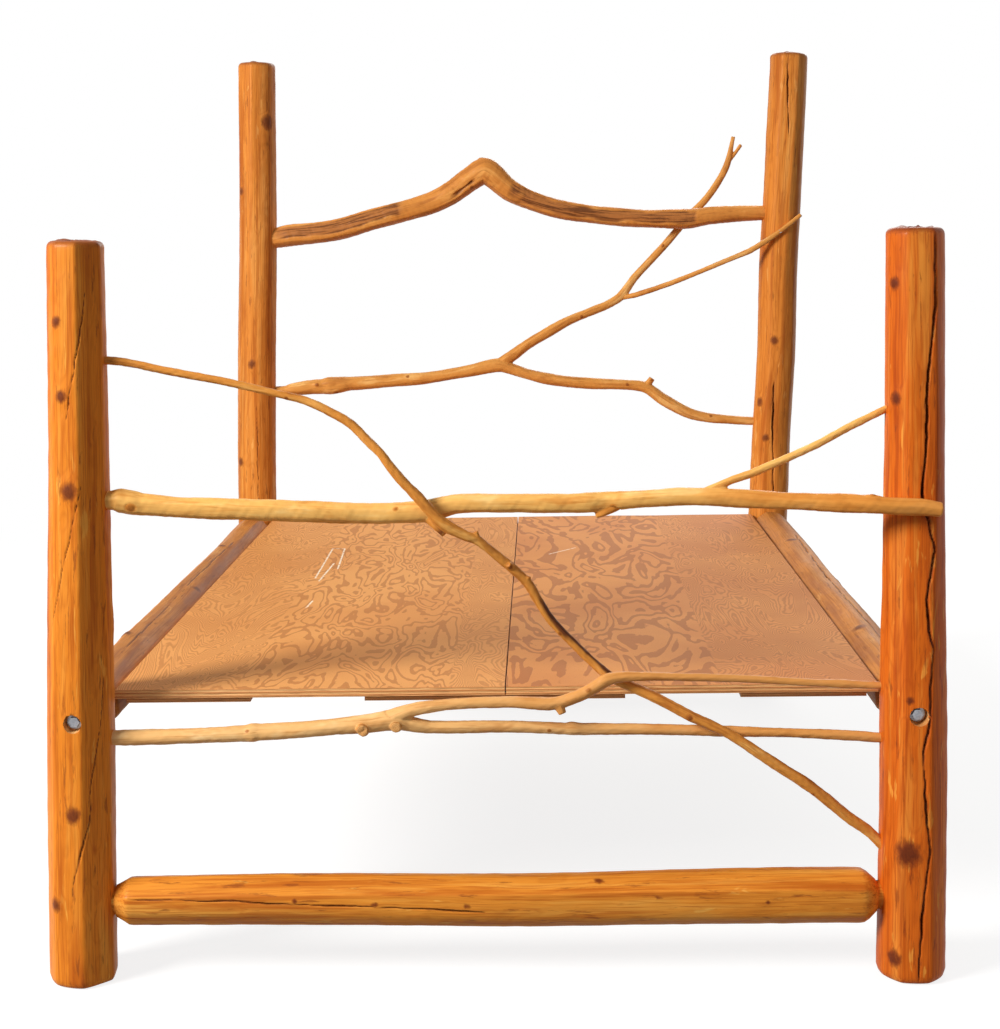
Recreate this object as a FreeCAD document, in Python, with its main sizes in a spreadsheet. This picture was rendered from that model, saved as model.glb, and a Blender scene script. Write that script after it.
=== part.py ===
import FreeCAD, Part
import Sketcher
import os
import re
from FreeCAD import Placement, Rotation, Vector

# A queen-size peeled-log bed: four posts, log rails, natural branches woven into the
# foot and head ends, and a loose deck of two plywood panels on slats.
# Millimetres. +X is to the right seen from the foot end, +Y runs to the head, +Z is up.
# The origin is on the floor, at the middle of the whole bed's outline.

SIZES = (
    # overall
    ("post_span_width", 1636),
    ("post_span_length", 2120),
    ("deck_height", 570),
    # posts
    ("foot_post_height", 1468),
    ("foot_post_base_radius", 67),
    ("foot_post_rail_radius", 64.5),
    ("foot_post_middle_radius", 58),
    ("foot_post_top_radius", 54),
    ("head_post_height", 2015),
    ("head_post_base_radius", 62),
    ("head_post_rail_radius", 60.5),
    ("head_post_middle_radius", 59),
    ("head_post_top_radius", 56.5),
    ("post_bevel", 13),
    ("foot_bevel", 9),
    ("floor_trim", 40),
    ("left_foot_lean", 1.5),
    ("right_foot_lean", 0.1),
    ("left_head_lean", 1.5),
    ("right_head_lean", 3.1),
    # side rails
    ("side_rail_height", 533),
    ("side_rail_radius", 54),
    ("side_rail_tenon_radius", 29),
    ("side_rail_tenon_depth", 38),
    # low end rails
    ("low_rail_height", 157),
    ("low_rail_left_radius", 46),
    ("low_rail_right_radius", 52),
    ("low_rail_tenon_radius", 27),
    ("low_rail_tenon_depth", 42),
    ("rail_shoulder_gap", 2),
    ("rail_end_bevel", 30),
    # branch joints
    ("branches_drawn_from", 209),
    ("foot_branches_drawn_to", 1468),
    ("head_branches_drawn_to", 2015),
    ("branch_tenon_depth", 30),
    ("branch_tenon_share", 0.7),
    ("branch_tenon_root", 24),
    ("cope_reach", 20),
    ("mortise_clearance", 0.3),
    ("mortise_bottom_gap", 0.6),
    ("crossing_gap", 0.3),
    # bed bolts, at the four corners
    ("bolt_radius", 6),
    ("bolt_hole_radius", 6.3),
    ("bolt_head_radius", 11),
    ("bolt_head_height", 8),
    ("bolt_length", 190),
    ("bolt_tip_gap", 8),
    ("recess_radius", 18),
    ("recess_depth", 25),
    ("washer_radius", 15),
    ("washer_thickness", 2.5),
    ("barrel_nut_radius", 10),
    ("barrel_nut_length", 46),
    ("barrel_nut_margin", 24),
    ("barrel_hole_clearance", 0.3),
    ("thread_clearance", 0.05),
    # deck support
    ("ledger_width", 64),
    ("ledger_thickness", 38),
    ("ledger_inset", 28),
    ("ledger_foot_setback", 290),
    ("ledger_head_gap", 70),
    ("slat_count", 6),
    ("slat_width", 95),
    ("slat_thickness", 28),
    ("slat_end_gap", 4),
    ("first_slat_offset", 300),
    ("last_slat_offset", 150),
    ("strap_thickness", 12),
    ("side_strap_width", 250),
    ("side_strap_inset", 21),
    ("centre_strap_width", 522),
    ("strap_setback", 14),
    # plywood deck
    ("deck_foot_lap", 16.5),
    ("deck_head_lap", 20.5),
    ("deck_side_gap", 2),
    ("panel_thickness", 18),
    ("panel_gap", 2),
    ("seam_offset", 22),
    # screws
    ("screw_radius", 2.5),
    ("screw_head_radius", 5),
    ("screw_head_height", 3),
    ("screw_clearance", 0.2),
    ("screw_sink", 1),
    ("ledger_screw_length", 92),
    ("slat_screw_length", 56),
    ("slat_screw_spacing", 50),
    ("slat_screw_end", 17),
    ("strap_screw_length", 32),
    ("strap_screw_edge", 40),
    ("lag_screw_radius", 3),
    ("lag_head_radius", 4.8),
    ("lag_head_height", 3),
    ("lag_screw_length", 70),
    ("lag_counterbore", 4),
)
ALIASES = {alias for alias, number in SIZES}

doc = FreeCAD.newDocument("four_poster_bed")
sheet = doc.addObject("Spreadsheet::Sheet", "Sizes")
for row, (alias, number) in enumerate(SIZES, 1):
    sheet.set(f"A{row}", alias)
    sheet.set(f"B{row}", str(number))
    sheet.setAlias(f"B{row}", alias)
doc.recompute()

parts = []

ALONG_X = Vector(1, 0, 0)
ALONG_Y = Vector(0, 1, 0)
ALONG_Z = Vector(0, 0, 1)


# ---------------------------------------------------------------- helpers

def cell(text):
    """An expression in plain size names, as the document's objects read it."""
    return re.sub(r"[a-z_]+", lambda word: f"Sizes.{word[0]}" if word[0] in ALIASES else word[0], text)


def size(text):
    """The present number of an expression in plain size names."""
    return float(sheet.evalExpression(cell(text)))


def bind(item, **expressions):
    for name, text in expressions.items():
        item.setExpression(name.replace("__", "."), cell(text))


def place(item, x="0", y="0", z="0", axis=ALONG_Z, angle="0"):
    """Bind an object's place to the sizes; the turn is about one fixed axis."""
    item.Placement = Placement(Vector(), Rotation(axis, 1))
    bind(item, Placement__Base__x=x, Placement__Base__y=y, Placement__Base__z=z)
    bind(item, Placement__Rotation__Angle=angle)


def keep(item, label):
    """Name an object as one of the bed's sub-parts."""
    item.Label = label
    parts.append(item)


def origin_plane(body, role):
    return next(item for item in body.Origin.OriginFeatures if item.Role == role)


def outline_sketch(body, name, role, corners):
    """A closed outline of straight lines, each corner bound to the sizes."""
    sketch = body.newObject("Sketcher::SketchObject", name)
    sketch.AttachmentSupport = [(origin_plane(body, role), "")]
    sketch.MapMode = "FlatFace"
    points = [Vector(size(across), size(along), 0) for across, along in corners]
    count = len(points)
    for index in range(count):
        sketch.addGeometry(Part.LineSegment(points[index], points[(index + 1) % count]))
    for index in range(count):
        sketch.addConstraint(Sketcher.Constraint("Coincident", index, 2, (index + 1) % count, 1))
    for index, (across, along) in enumerate(corners):
        for kind, axis, text in (("DistanceX", -2, across), ("DistanceY", -1, along)):
            if text == "0":
                sketch.addConstraint(Sketcher.Constraint("PointOnObject", index, 1, axis))
            else:
                number = sketch.addConstraint(Sketcher.Constraint(kind, -1, 1, index, 1, size(text)))
                sketch.setExpression(f"Constraints[{number}]", cell(text))
    return sketch


def turned(name, profile):
    """A solid turned about its own length, Z, from (radius, height) pairs."""
    body = doc.addObject("PartDesign::Body", name)
    corners = [("0", profile[0][1])] + list(profile) + [("0", profile[-1][1])]
    outline = outline_sketch(body, f"{name}_profile", "XZ_Plane", corners)
    revolution = body.newObject("PartDesign::Revolution", f"{name}_revolution")
    revolution.Profile = outline
    revolution.ReferenceAxis = (outline, ["V_Axis"])
    revolution.Angle = 360
    return body


def board(name, width, length, thickness):
    """A board with its left, near, bottom corner at its own origin."""
    body = doc.addObject("PartDesign::Body", name)
    corners = [("0", "0"), (width, "0"), (width, length), ("0", length)]
    pad = body.newObject("PartDesign::Pad", f"{name}_pad")
    pad.Profile = outline_sketch(body, f"{name}_outline", "XY_Plane", corners)
    bind(pad, Length=thickness)
    return body


def rod(name, radius, length, start, direction):
    """A straight round solid from a point along a direction."""
    item = doc.addObject("Part::Cylinder", name)
    bind(item, Radius=radius, Height=length)
    item.Placement = Placement(start, Rotation(ALONG_Z, direction))
    return item


def cut(name, base, tools):
    tool = doc.addObject("Part::Compound", f"{name}_cutters")
    tool.Links = tools
    item = doc.addObject("Part::Cut", name)
    item.Base = base
    item.Tool = tool
    return item


def finished(name, shape):
    """A document object for a shape that no sketch or primitive describes."""
    item = doc.addObject("Part::Feature", name)
    item.Shape = shape
    return item


def copies(name, template, places):
    """One object holding a copy of the template at every place."""
    doc.recompute()
    shapes = []
    for place_of_copy in places:
        shape = template.Shape.copy()
        shape.Placement = place_of_copy.multiply(shape.Placement)
        shapes.append(shape)
    return finished(name, Part.Compound(shapes))


def pointing(point, direction):
    """The place of a turned solid whose Z end points along a direction."""
    return Placement(point, Rotation(ALONG_Z, direction))


# ---------------------------------------------------------------- the posts' lines

FOOT_Y = "-post_span_length/2"
HEAD_Y = "post_span_length/2"

# name: (side, end, place along the bed)
POSTS = {
    "left_foot": (-1, "foot", FOOT_Y),
    "right_foot": (1, "foot", FOOT_Y),
    "left_head": (-1, "head", HEAD_Y),
    "right_head": (1, "head", HEAD_Y),
}

cutters = {post: [] for post in POSTS}


def post_profile(end):
    """(radius, height) pairs of a post, from below the floor line to its bevelled top."""
    return [
        (f"{end}_post_base_radius - foot_bevel", "-floor_trim"),
        (f"{end}_post_base_radius - foot_bevel", "0"),
        (f"{end}_post_base_radius", "foot_bevel*1.5"),
        (f"{end}_post_rail_radius", "side_rail_height"),
        (f"{end}_post_middle_radius", f"(side_rail_height + {end}_post_height)/2"),
        (f"{end}_post_top_radius", f"{end}_post_height - post_bevel"),
        (f"{end}_post_top_radius - post_bevel", f"{end}_post_height"),
    ]


def post_axis_x(post, height):
    """A leaning post's centre line, true to the span at the side rails' height."""
    side = POSTS[post][0]
    return f"{side}*post_span_width/2 + ({height} - side_rail_height)*tan({post}_lean)"


def post_axis_point(post, height):
    return Vector(size(post_axis_x(post, str(height))), size(POSTS[post][2]), height)


def post_radius(post, height):
    profile = [(size(radius), size(level)) for radius, level in post_profile(POSTS[post][1])]
    for (low_radius, low), (high_radius, high) in zip(profile, profile[1:]):
        if height <= high:
            return low_radius + (high_radius - low_radius)*(height - low)/(high - low)
    return profile[-1][0]


def post_envelope(post):
    """The post's outside grown by the fitting gap, to which the branch ends are coped."""
    gap = size("mortise_clearance")
    profile = [Vector(size(radius) + gap, 0, size(level)) for radius, level in post_profile(POSTS[post][1])]
    foot = Vector(0, 0, profile[0].z)
    top = Vector(0, 0, profile[-1].z)
    solid = Part.Face(Part.makePolygon([foot] + profile + [top, foot])).revolve(Vector(), ALONG_Z, 360)
    solid.Placement = Placement(post_axis_point(post, 0.0), Rotation(ALONG_Y, size(f"{post}_lean")))
    return solid


# ---------------------------------------------------------------- branches

def limb(stations):
    """A round limb through (centre, radius) stations, straight from one to the next."""
    wires = []
    for index, (centre, radius) in enumerate(stations):
        before = stations[max(index - 1, 0)][0]
        after = stations[min(index + 1, len(stations) - 1)][0]
        along = (after - before).normalize()
        across = (ALONG_Y - along*along.dot(ALONG_Y)).normalize()
        ring = Part.Circle(Vector(), ALONG_Z, radius).toShape()
        ring.Placement = Placement(centre, Rotation(across.cross(along), across, along, "ZXY"))
        wires.append(Part.Wire(ring))
    return Part.makeLoft(wires, True, True)


def branch_height(end, drawn_height):
    """A height on an end's branches, kept in its place between the low rail's top and the posts' tops."""
    start = size("branches_drawn_from")
    share = (drawn_height - start)/(size(f"{end}_branches_drawn_to") - start)
    rail_top = size("low_rail_height + low_rail_right_radius")
    return rail_top + share*(size(f"{end}_post_height") - rail_top)


def at(end, stations):
    """Stations given as (share of half the post span, depth, height, radius)."""
    half_span = size("post_span_width/2")
    middle = size(FOOT_Y if end == "foot" else HEAD_Y)
    return [(Vector(share*half_span, middle + depth, branch_height(end, height)), radius)
            for share, depth, height, radius in stations]


def inside_post(post, drawn_height, radius):
    """A station just inside a post's bed-facing side, where a limb is let in."""
    height = branch_height(POSTS[post][1], drawn_height)
    reach = post_radius(post, height) - size("cope_reach")
    return (post_axis_point(post, height) - ALONG_X*(POSTS[post][0]*reach), radius)


def seated_limb(name, stations, first_post=None, last_post=None):
    """A limb coped to the posts that it meets, with a round tenon let into each."""
    solid = limb(stations)
    tenons = []
    for post, end, near in ((first_post, stations[0], stations[1]), (last_post, stations[-1], stations[-2])):
        if post is None:
            continue
        direction = (end[0] - near[0]).normalize()
        radius = end[1]*size("branch_tenon_share")
        start = end[0] - direction*size("branch_tenon_root + cope_reach")
        length = size("branch_tenon_root + branch_tenon_depth")
        tenons.append(Part.makeCylinder(radius, length, start, direction))
        hole = Part.makeCylinder(radius + size("mortise_clearance"), length + size("mortise_bottom_gap"),
                                 start, direction)
        cutters[post].append(finished(f"{name}_mortise", hole))
        solid = solid.cut(post_envelope(post))
    return solid.fuse(tenons) if tenons else solid


def branch(name, limbs):
    """One natural piece: its limbs grown together."""
    whole = limbs[0].fuse(limbs[1:])
    return finished(name, whole.Solids[0] if len(whole.Solids) == 1 else whole)


# ---------------------------------------------------------------- footboard branches

def in_front_of(post, drawn_height, radius):
    """How far in front of a post's centre line a limb lies that is laid against it."""
    height = branch_height(POSTS[post][1], drawn_height)
    return -(post_radius(post, height) + radius + size("crossing_gap"))


def footboard_top_branch():
    """The footboard's waist-high branch, lapped over the right post, with one thin shoot."""
    lap = in_front_of("right_foot", 940, 16.5)
    trunk = [inside_post("left_foot", 962, 22)] + at("foot", [
        (-0.86, 0, 957, 22),
        (-0.71, 0, 945, 21.5),
        (-0.45, 2, 935, 21.5),
        (-0.30, 6, 929, 20.5),
        (-0.15, 8, 932, 22),
        (-0.08, 8, 945, 19.5),
        (0.05, 5, 946, 18.5),
        (0.23, 0, 946, 19.5),
        (0.34, lap*0.15, 953, 17.5),
        (0.46, lap*0.28, 959, 18),
        (0.57, lap*0.45, 957, 18),
        (0.72, lap*0.7, 952, 16.5),
        (0.86, lap*0.92, 948, 18),
        (0.93, lap, 944, 16.5),
        (1.00, lap, 941, 16.5),
        (1.045, lap*1.01, 936, 15),
    ])
    shoot = at("foot", [
        (0.49, lap*0.35, 962, 9),
        (0.57, lap*0.32, 990, 8),
        (0.62, lap*0.28, 1003, 8),
        (0.76, lap*0.18, 1051, 7.5),
        (0.85, lap*0.09, 1089, 7.5),
    ]) + [inside_post("right_foot", 1130, 7.5)]
    stub = at("foot", [
        (-0.145, 6, 925, 17),
        (-0.105, -6, 892, 12),
    ])
    limbs = [
        seated_limb("top_branch_left", trunk, first_post="left_foot"),
        seated_limb("top_branch_shoot", shoot, last_post="right_foot"),
        limb(stub),
    ]
    return branch("footboard_top_branch_wood", limbs), (trunk[-2][0], trunk[-2][1])


def footboard_low_branch():
    """The footboard's low branch, which forks into an upper and a lower arm."""
    trunk = [inside_post("left_foot", 487, 14.5)] + at("foot", [
        (-0.87, 0, 487, 15.5),
        (-0.73, 0, 490, 14.5),
        (-0.585, 0, 495, 17),
        (-0.49, 0, 499, 15.5),
        (-0.39, 0, 505, 16),
        (-0.30, 0, 511, 18),
        (-0.24, 1, 517, 20),
        (-0.20, 3, 508, 15),
        (-0.15, 6, 501, 12.5),
        (0.04, 12, 499, 12),
        (0.20, 15, 492, 12),
        (0.37, 16, 490, 10.5),
        (0.55, 15, 485, 10.5),
        (0.70, 10, 482, 9.5),
        (0.86, 4, 477, 10),
    ]) + [inside_post("right_foot", 472, 10)]
    upper_arm = at("foot", [
        (-0.25, 0, 521, 17),
        (-0.19, -4, 540, 13),
        (-0.10, -8, 551, 11),
        (0.04, -12, 555, 11),
        (0.15, -14, 551, 12),
        (0.21, -15, 570, 12),
        (0.27, -15, 598, 11.5),
        (0.36, -13, 604, 9),
        (0.46, -10, 601, 8),
        (0.61, -6, 595, 7.5),
        (0.77, -2, 585, 7.5),
        (0.87, 0, 580, 8),
    ]) + [inside_post("right_foot", 577, 7)]
    sawn_stub = at("foot", [
        (-0.315, 0, 505, 14),
        (-0.315, -24, 503, 12),
    ])
    elbow_stub = at("foot", [
        (0.155, -14, 552, 11),
        (0.165, -16, 532, 8),
    ])
    limbs = [
        seated_limb("low_branch_trunk", trunk, first_post="left_foot", last_post="right_foot"),
        seated_limb("low_branch_arm", upper_arm, last_post="right_foot"),
        limb(sawn_stub),
        limb(elbow_stub),
    ]
    return branch("footboard_low_branch_wood", limbs)


def footboard_diagonal_branch():
    """The long branch that rises from low on the right post, woven through the others."""
    stem = [inside_post("right_foot", 232, 11)] + at("foot", [
        (0.90, 0, 283, 11),
        (0.85, -3, 314, 11.5),
        (0.76, -7, 376, 11.5),
        (0.66, -10, 432, 11),
        (0.56, -10, 487, 10.5),
        (0.47, -7, 523, 10.5),
        (0.38, 4, 560, 11),
        (0.28, 11, 598, 10.5),
        (0.223, 10, 640, 9),
        (0.19, 9, 668, 9),
        (0.161, 8, 693, 9.5),
        (0.133, 6, 721, 9.5),
        (0.11, 4, 754, 10),
        (0.087, 1, 787, 10),
        (0.049, -4, 820, 10),
        (0.026, -8, 836, 10),
        (-0.007, -13, 860, 9.5),
        (-0.035, -18, 879, 10),
        (-0.058, -22, 887, 11),
        (-0.102, -27, 907, 12),
        (-0.125, -28, 922, 12),
        (-0.165, -28, 960, 11),
        (-0.204, -26, 994, 10),
        (-0.234, -22, 1024, 9.5),
        (-0.26, -17, 1052, 9),
        (-0.29, -12, 1076, 9),
        (-0.33, -7, 1108, 9),
        (-0.377, -3, 1130, 9),
        (-0.435, 0, 1152, 8.5),
        (-0.499, 0, 1166, 8),
        (-0.618, 0, 1190, 8),
        (-0.75, 0, 1212, 8),
        (-0.87, 0, 1233, 8),
    ]) + [inside_post("left_foot", 1238, 8)]
    knot_stub = at("foot", [
        (0.05, -4, 820, 8.5),
        (0.04, -17, 829, 6),
    ])
    limbs = [
        seated_limb("diagonal_branch", stem, first_post="right_foot", last_post="left_foot"),
        limb(knot_stub),
    ]
    return branch("footboard_diagonal_branch_wood", limbs)


# ---------------------------------------------------------------- headboard branches

def headboard_top_rail():
    """The headboard's heavy top rail, a natural fork laid over as a peak."""
    rail = [inside_post("left_head", 1462, 31)] + at("head", [
        (-0.84, 0, 1475, 35),
        (-0.68, 0, 1486, 35),
        (-0.53, 0, 1518, 35),
        (-0.37, 0, 1550, 34),
        (-0.29, 0, 1570, 35),
        (-0.21, 0, 1602, 37),
        (-0.14, 0, 1643, 38),
        (-0.08, 0, 1667, 42),
        (0.01, 0, 1607, 36),
        (0.09, 0, 1573, 32),
        (0.24, 0, 1537, 30),
        (0.40, 0, 1519, 29),
        (0.55, 0, 1509, 30.5),
        (0.70, 0, 1507, 32),
        (0.78, 0, 1514, 29.5),
        (0.90, 0, 1521, 26),
    ]) + [inside_post("right_head", 1522, 25)]
    limbs = [seated_limb("head_top_rail", rail, first_post="left_head", last_post="right_head")]
    return branch("headboard_top_rail_wood", limbs)


def headboard_branch():
    """The headboard's forked branch: a low arm, a steep arm and an arm lapped on the post."""
    lap = in_front_of("right_head", 1440, 8)
    behind = 46
    trunk = [inside_post("left_head", 976, 19)] + at("head", [
        (-0.85, 0, 982, 20),
        (-0.78, 0, 989, 22),
        (-0.70, 0, 993, 29),
        (-0.62, 0, 999, 23),
        (-0.47, 0, 1007, 21),
        (-0.31, 0, 1016, 19.5),
        (-0.155, 0, 1035, 20),
        (-0.04, 0, 1052, 22),
        (0.02, 0, 1036, 18.5),
        (0.08, 0, 1020, 17.5),
        (0.155, 0, 1006, 19),
        (0.23, 0, 996, 18.5),
        (0.31, 0, 990, 17.5),
        (0.46, 0, 983, 16.5),
        (0.53, 0, 974, 18),
        (0.60, 0, 933, 19),
        (0.69, 0, 893, 17.5),
        (0.77, 0, 875, 16),
        (0.86, 0, 867, 14),
    ]) + [inside_post("right_head", 861, 13)]
    steep_arm = at("head", [
        (-0.07, 0, 1046, 13),
        (0.00, 0, 1074, 18.5),
        (0.08, 1, 1120, 16.5),
        (0.16, 4, 1157, 16),
        (0.235, 8, 1190, 15),
        (0.31, 14, 1215, 13.5),
        (0.39, 20, 1240, 13),
        (0.44, 27, 1266, 14),
        (0.49, 34, 1320, 12.5),
        (0.545, 41, 1367, 12),
        (0.62, behind, 1431, 12),
        (0.70, behind, 1507, 12),
        (0.78, behind - 2, 1574, 12),
        (0.85, behind - 3, 1665, 11),
        (0.88, behind - 4, 1763, 6),
    ])
    twig = at("head", [
        (0.852, behind - 3, 1672, 5.5),
        (0.91, behind - 2, 1737, 6),
    ])
    right_arm = at("head", [
        (0.435, 25, 1258, 7.5),
        (0.50, 12, 1270, 9),
        (0.62, lap*0.2, 1302, 8.5),
        (0.70, lap*0.42, 1327, 8),
        (0.775, lap*0.65, 1352, 8),
        (0.85, lap*0.85, 1378, 8),
        (0.935, lap, 1407, 9.5),
        (1.04, lap, 1462, 8),
        (1.12, lap, 1513, 7),
    ])
    elbow_stub = at("head", [
        (0.53, 0, 976, 12),
        (0.555, -4, 1003, 10),
    ])
    limbs = [
        seated_limb("head_branch", trunk, first_post="left_head", last_post="right_head"),
        limb(steep_arm),
        limb(twig),
        limb(right_arm),
        limb(elbow_stub),
    ]
    return branch("headboard_branch_wood", limbs), (right_arm[-2][0], right_arm[-2][1])


# ---------------------------------------------------------------- lag screws

def lag_profile(grow):
    return [
        (f"lag_screw_radius + {grow}", f"lag_screw_length + {grow}"),
        (f"lag_screw_radius + {grow}", "0"),
        (f"lag_head_radius + {grow}", "0"),
        (f"lag_head_radius + {grow}", f"-lag_head_height - {grow}*lag_counterbore/screw_clearance"),
    ]


def lag_screws(laps):
    """The two lag screws that hold the lapped branch ends to their posts."""
    places = []
    for centre, radius in laps:
        seat = centre - ALONG_Y*(radius - size("lag_counterbore"))
        places.append(pointing(seat, ALONG_Y))
    screws = copies("lapped_branch_lag_screws", turned("lag_screw", lag_profile("0")), places)
    holes = copies("lag_screw_holes", turned("lag_hole", lag_profile("screw_clearance")), places)
    return screws, holes


# ---------------------------------------------------------------- rails

def low_end_rail(name, end, y):
    """A heavy log between two posts near the floor, bevelled to a round tenon at each end."""
    left, right = f"left_{end}", f"right_{end}"
    for post, shift in ((left, 1), (right, -1)):
        height = size("low_rail_height")
        tip = post_axis_point(post, height) + ALONG_X*(shift*(post_radius(post, height)
                                                          - size("low_rail_tenon_depth")))
        start = tip - ALONG_X*(shift*size("mortise_bottom_gap"))
        cutters[post].append(rod(f"{name}_mortise", "low_rail_tenon_radius + mortise_clearance",
                                 "low_rail_tenon_depth*2", start, ALONG_X*shift))
    surface = f"({end}_post_base_radius + ({end}_post_rail_radius - {end}_post_base_radius)" \
              "*low_rail_height/side_rail_height)"
    left_face = f"{post_axis_x(left, 'low_rail_height')} + {surface}"
    right_face = f"{post_axis_x(right, 'low_rail_height')} - {surface}"
    body = turned(name, [
        ("low_rail_tenon_radius", f"{left_face} - low_rail_tenon_depth"),
        ("low_rail_tenon_radius", f"{left_face} + rail_shoulder_gap"),
        ("low_rail_left_radius", f"{left_face} + rail_shoulder_gap + rail_end_bevel"),
        ("low_rail_right_radius", f"{right_face} - rail_shoulder_gap - rail_end_bevel"),
        ("low_rail_tenon_radius", f"{right_face} - rail_shoulder_gap"),
        ("low_rail_tenon_radius", f"{right_face} + low_rail_tenon_depth"),
    ])
    place(body, y=y, z="low_rail_height", axis=ALONG_Y, angle="90")
    return body


def side_rail(side_name, side):
    """A log rail with a rebate for its ledger and bolted round tenons."""
    name = f"{side_name}_side_rail"
    x = f"{side}*post_span_width/2"
    foot_face = "foot_post_rail_radius"
    head_face = "post_span_length - head_post_rail_radius"
    log = turned(f"{name}_log", [
        ("side_rail_tenon_radius", f"{foot_face} - side_rail_tenon_depth"),
        ("side_rail_tenon_radius", f"{foot_face} + rail_shoulder_gap"),
        ("side_rail_radius", f"{foot_face} + rail_shoulder_gap + rail_end_bevel"),
        ("side_rail_radius", f"{head_face} - rail_shoulder_gap - rail_end_bevel"),
        ("side_rail_tenon_radius", f"{head_face} - rail_shoulder_gap"),
        ("side_rail_tenon_radius", f"{head_face} + side_rail_tenon_depth"),
    ])
    place(log, x=x, y=FOOT_Y, z="side_rail_height", axis=ALONG_X, angle="-90")

    rebate = doc.addObject("Part::Box", f"{name}_rebate")
    bind(rebate, Length="ledger_width", Width=LEDGER_LENGTH, Height="side_rail_radius*2")
    place(rebate, x=ledger_x(side), y=LEDGER_START, z=f"{LEDGER_TOP} - side_rail_radius*2")

    tools = [rebate, holes["ledger"]]
    for post, inward in ((f"{side_name}_foot", 1), (f"{side_name}_head", -1)):
        height = size("side_rail_height")
        axis = post_axis_point(post, height)
        face = axis + ALONG_Y*(inward*post_radius(post, height))
        tip = face - ALONG_Y*(inward*size("side_rail_tenon_depth"))
        tools.append(rod(f"{post}_rail_bolt_hole", "bolt_hole_radius",
                         BOLT_REACH, bolt_seat(post), ALONG_Y*inward))
        nut = nut_centre(post)
        tools.append(rod(f"{post}_nut_hole", "barrel_nut_radius + barrel_hole_clearance",
                         "barrel_nut_length/2 + barrel_hole_clearance + side_rail_radius",
                         nut - ALONG_Z*size("side_rail_radius"), ALONG_Z))
        cutters[post].append(rod(f"{post}_side_rail_mortise", "side_rail_tenon_radius + mortise_clearance",
                                 "side_rail_tenon_depth*2",
                                 tip - ALONG_Y*(inward*size("mortise_bottom_gap")), ALONG_Y*inward))
        cutters[post].append(rod(f"{post}_bolt_hole", "bolt_hole_radius",
                                 BOLT_REACH, bolt_seat(post), ALONG_Y*inward))
        cutters[post].append(rod(f"{post}_recess", "recess_radius", "recess_depth*2",
                                 bolt_seat(post), ALONG_Y*-inward))
    return cut(name, log, tools)


# ---------------------------------------------------------------- bed bolts

BOLT_REACH = "bolt_length + bolt_tip_gap"


def bolt_seat(post):
    """The middle of a recess's floor, on the post's outer side."""
    height = size("side_rail_height")
    outward = -1 if POSTS[post][1] == "foot" else 1
    return post_axis_point(post, height) + ALONG_Y*(outward*(post_radius(post, height) - size("recess_depth")))


def nut_centre(post):
    """Where a bolt passes through its barrel nut, inside the side rail."""
    inward = 1 if POSTS[post][1] == "foot" else -1
    return bolt_seat(post) + ALONG_Y*(inward*size("washer_thickness + bolt_length - barrel_nut_margin"))


def bed_bolts():
    """Four hexagon-headed bed bolts, one through each post into a side rail."""
    shank = doc.addObject("Part::Cylinder", "bolt_shank")
    bind(shank, Radius="bolt_radius", Height="bolt_length")
    head = doc.addObject("Part::Prism", "bolt_head")
    head.Polygon = 6
    bind(head, Circumradius="bolt_head_radius", Height="bolt_head_height")
    place(head, z="-bolt_head_height")
    bolt = doc.addObject("Part::MultiFuse", "bed_bolt")
    bolt.Shapes = [shank, head]
    return copies("bed_bolts_group", bolt, bolt_places("-washer_thickness"))


def bolt_places(lift):
    places = []
    for post in POSTS:
        inward = 1 if POSTS[post][1] == "foot" else -1
        start = bolt_seat(post) + ALONG_Y*(inward*size(lift))
        places.append(pointing(start, ALONG_Y*inward))
    return places


def bed_bolt_washers():
    disc = doc.addObject("Part::Cylinder", "washer_disc")
    bind(disc, Radius="washer_radius", Height="washer_thickness")
    hole = doc.addObject("Part::Cylinder", "washer_hole")
    bind(hole, Radius="bolt_hole_radius", Height="washer_thickness")
    washer = doc.addObject("Part::Cut", "washer")
    washer.Base = disc
    washer.Tool = hole
    return copies("bed_bolt_washers_group", washer, bolt_places("-washer_thickness"))


def barrel_nuts():
    barrel = doc.addObject("Part::Cylinder", "nut_barrel")
    bind(barrel, Radius="barrel_nut_radius", Height="barrel_nut_length")
    place(barrel, z="-barrel_nut_length/2")
    thread = doc.addObject("Part::Cylinder", "nut_thread")
    bind(thread, Radius="bolt_radius + thread_clearance", Height="barrel_nut_radius*2")
    place(thread, y="barrel_nut_radius", axis=ALONG_X, angle="90")
    nut = doc.addObject("Part::Cut", "barrel_nut")
    nut.Base = barrel
    nut.Tool = thread
    places = [Placement(nut_centre(post), Rotation()) for post in POSTS]
    return copies("bed_bolt_barrel_nuts_group", nut, places)


# ---------------------------------------------------------------- deck support

PANEL_BOTTOM = "deck_height - panel_thickness"
SLAT_TOP = f"{PANEL_BOTTOM} - strap_thickness"
LEDGER_TOP = f"{SLAT_TOP} - slat_thickness"
DECK_START = "-post_span_length/2 + foot_post_rail_radius - deck_foot_lap"
PANEL_LENGTH = "(post_span_length - foot_post_rail_radius - head_post_rail_radius" \
               " + deck_foot_lap + deck_head_lap)"
PANEL_WIDTH = "((post_span_width - panel_gap)/2 - side_rail_radius - deck_side_gap)"
LEDGER_START = f"{DECK_START} + ledger_foot_setback"
LEDGER_LENGTH = "(post_span_length - foot_post_rail_radius - head_post_rail_radius" \
                " + deck_foot_lap - ledger_foot_setback - ledger_head_gap)"
SLAT_LENGTH = "(post_span_width - 2*side_rail_radius - 2*slat_end_gap)"
SLAT_STEP = f"(({PANEL_LENGTH} - first_slat_offset - last_slat_offset - slat_width)/(slat_count - 1))"


def ledger_x(side):
    """The left face of a ledger whose back is let into its rail."""
    if side < 0:
        return "-post_span_width/2 + ledger_inset"
    return "post_span_width/2 - ledger_inset - ledger_width"


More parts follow.
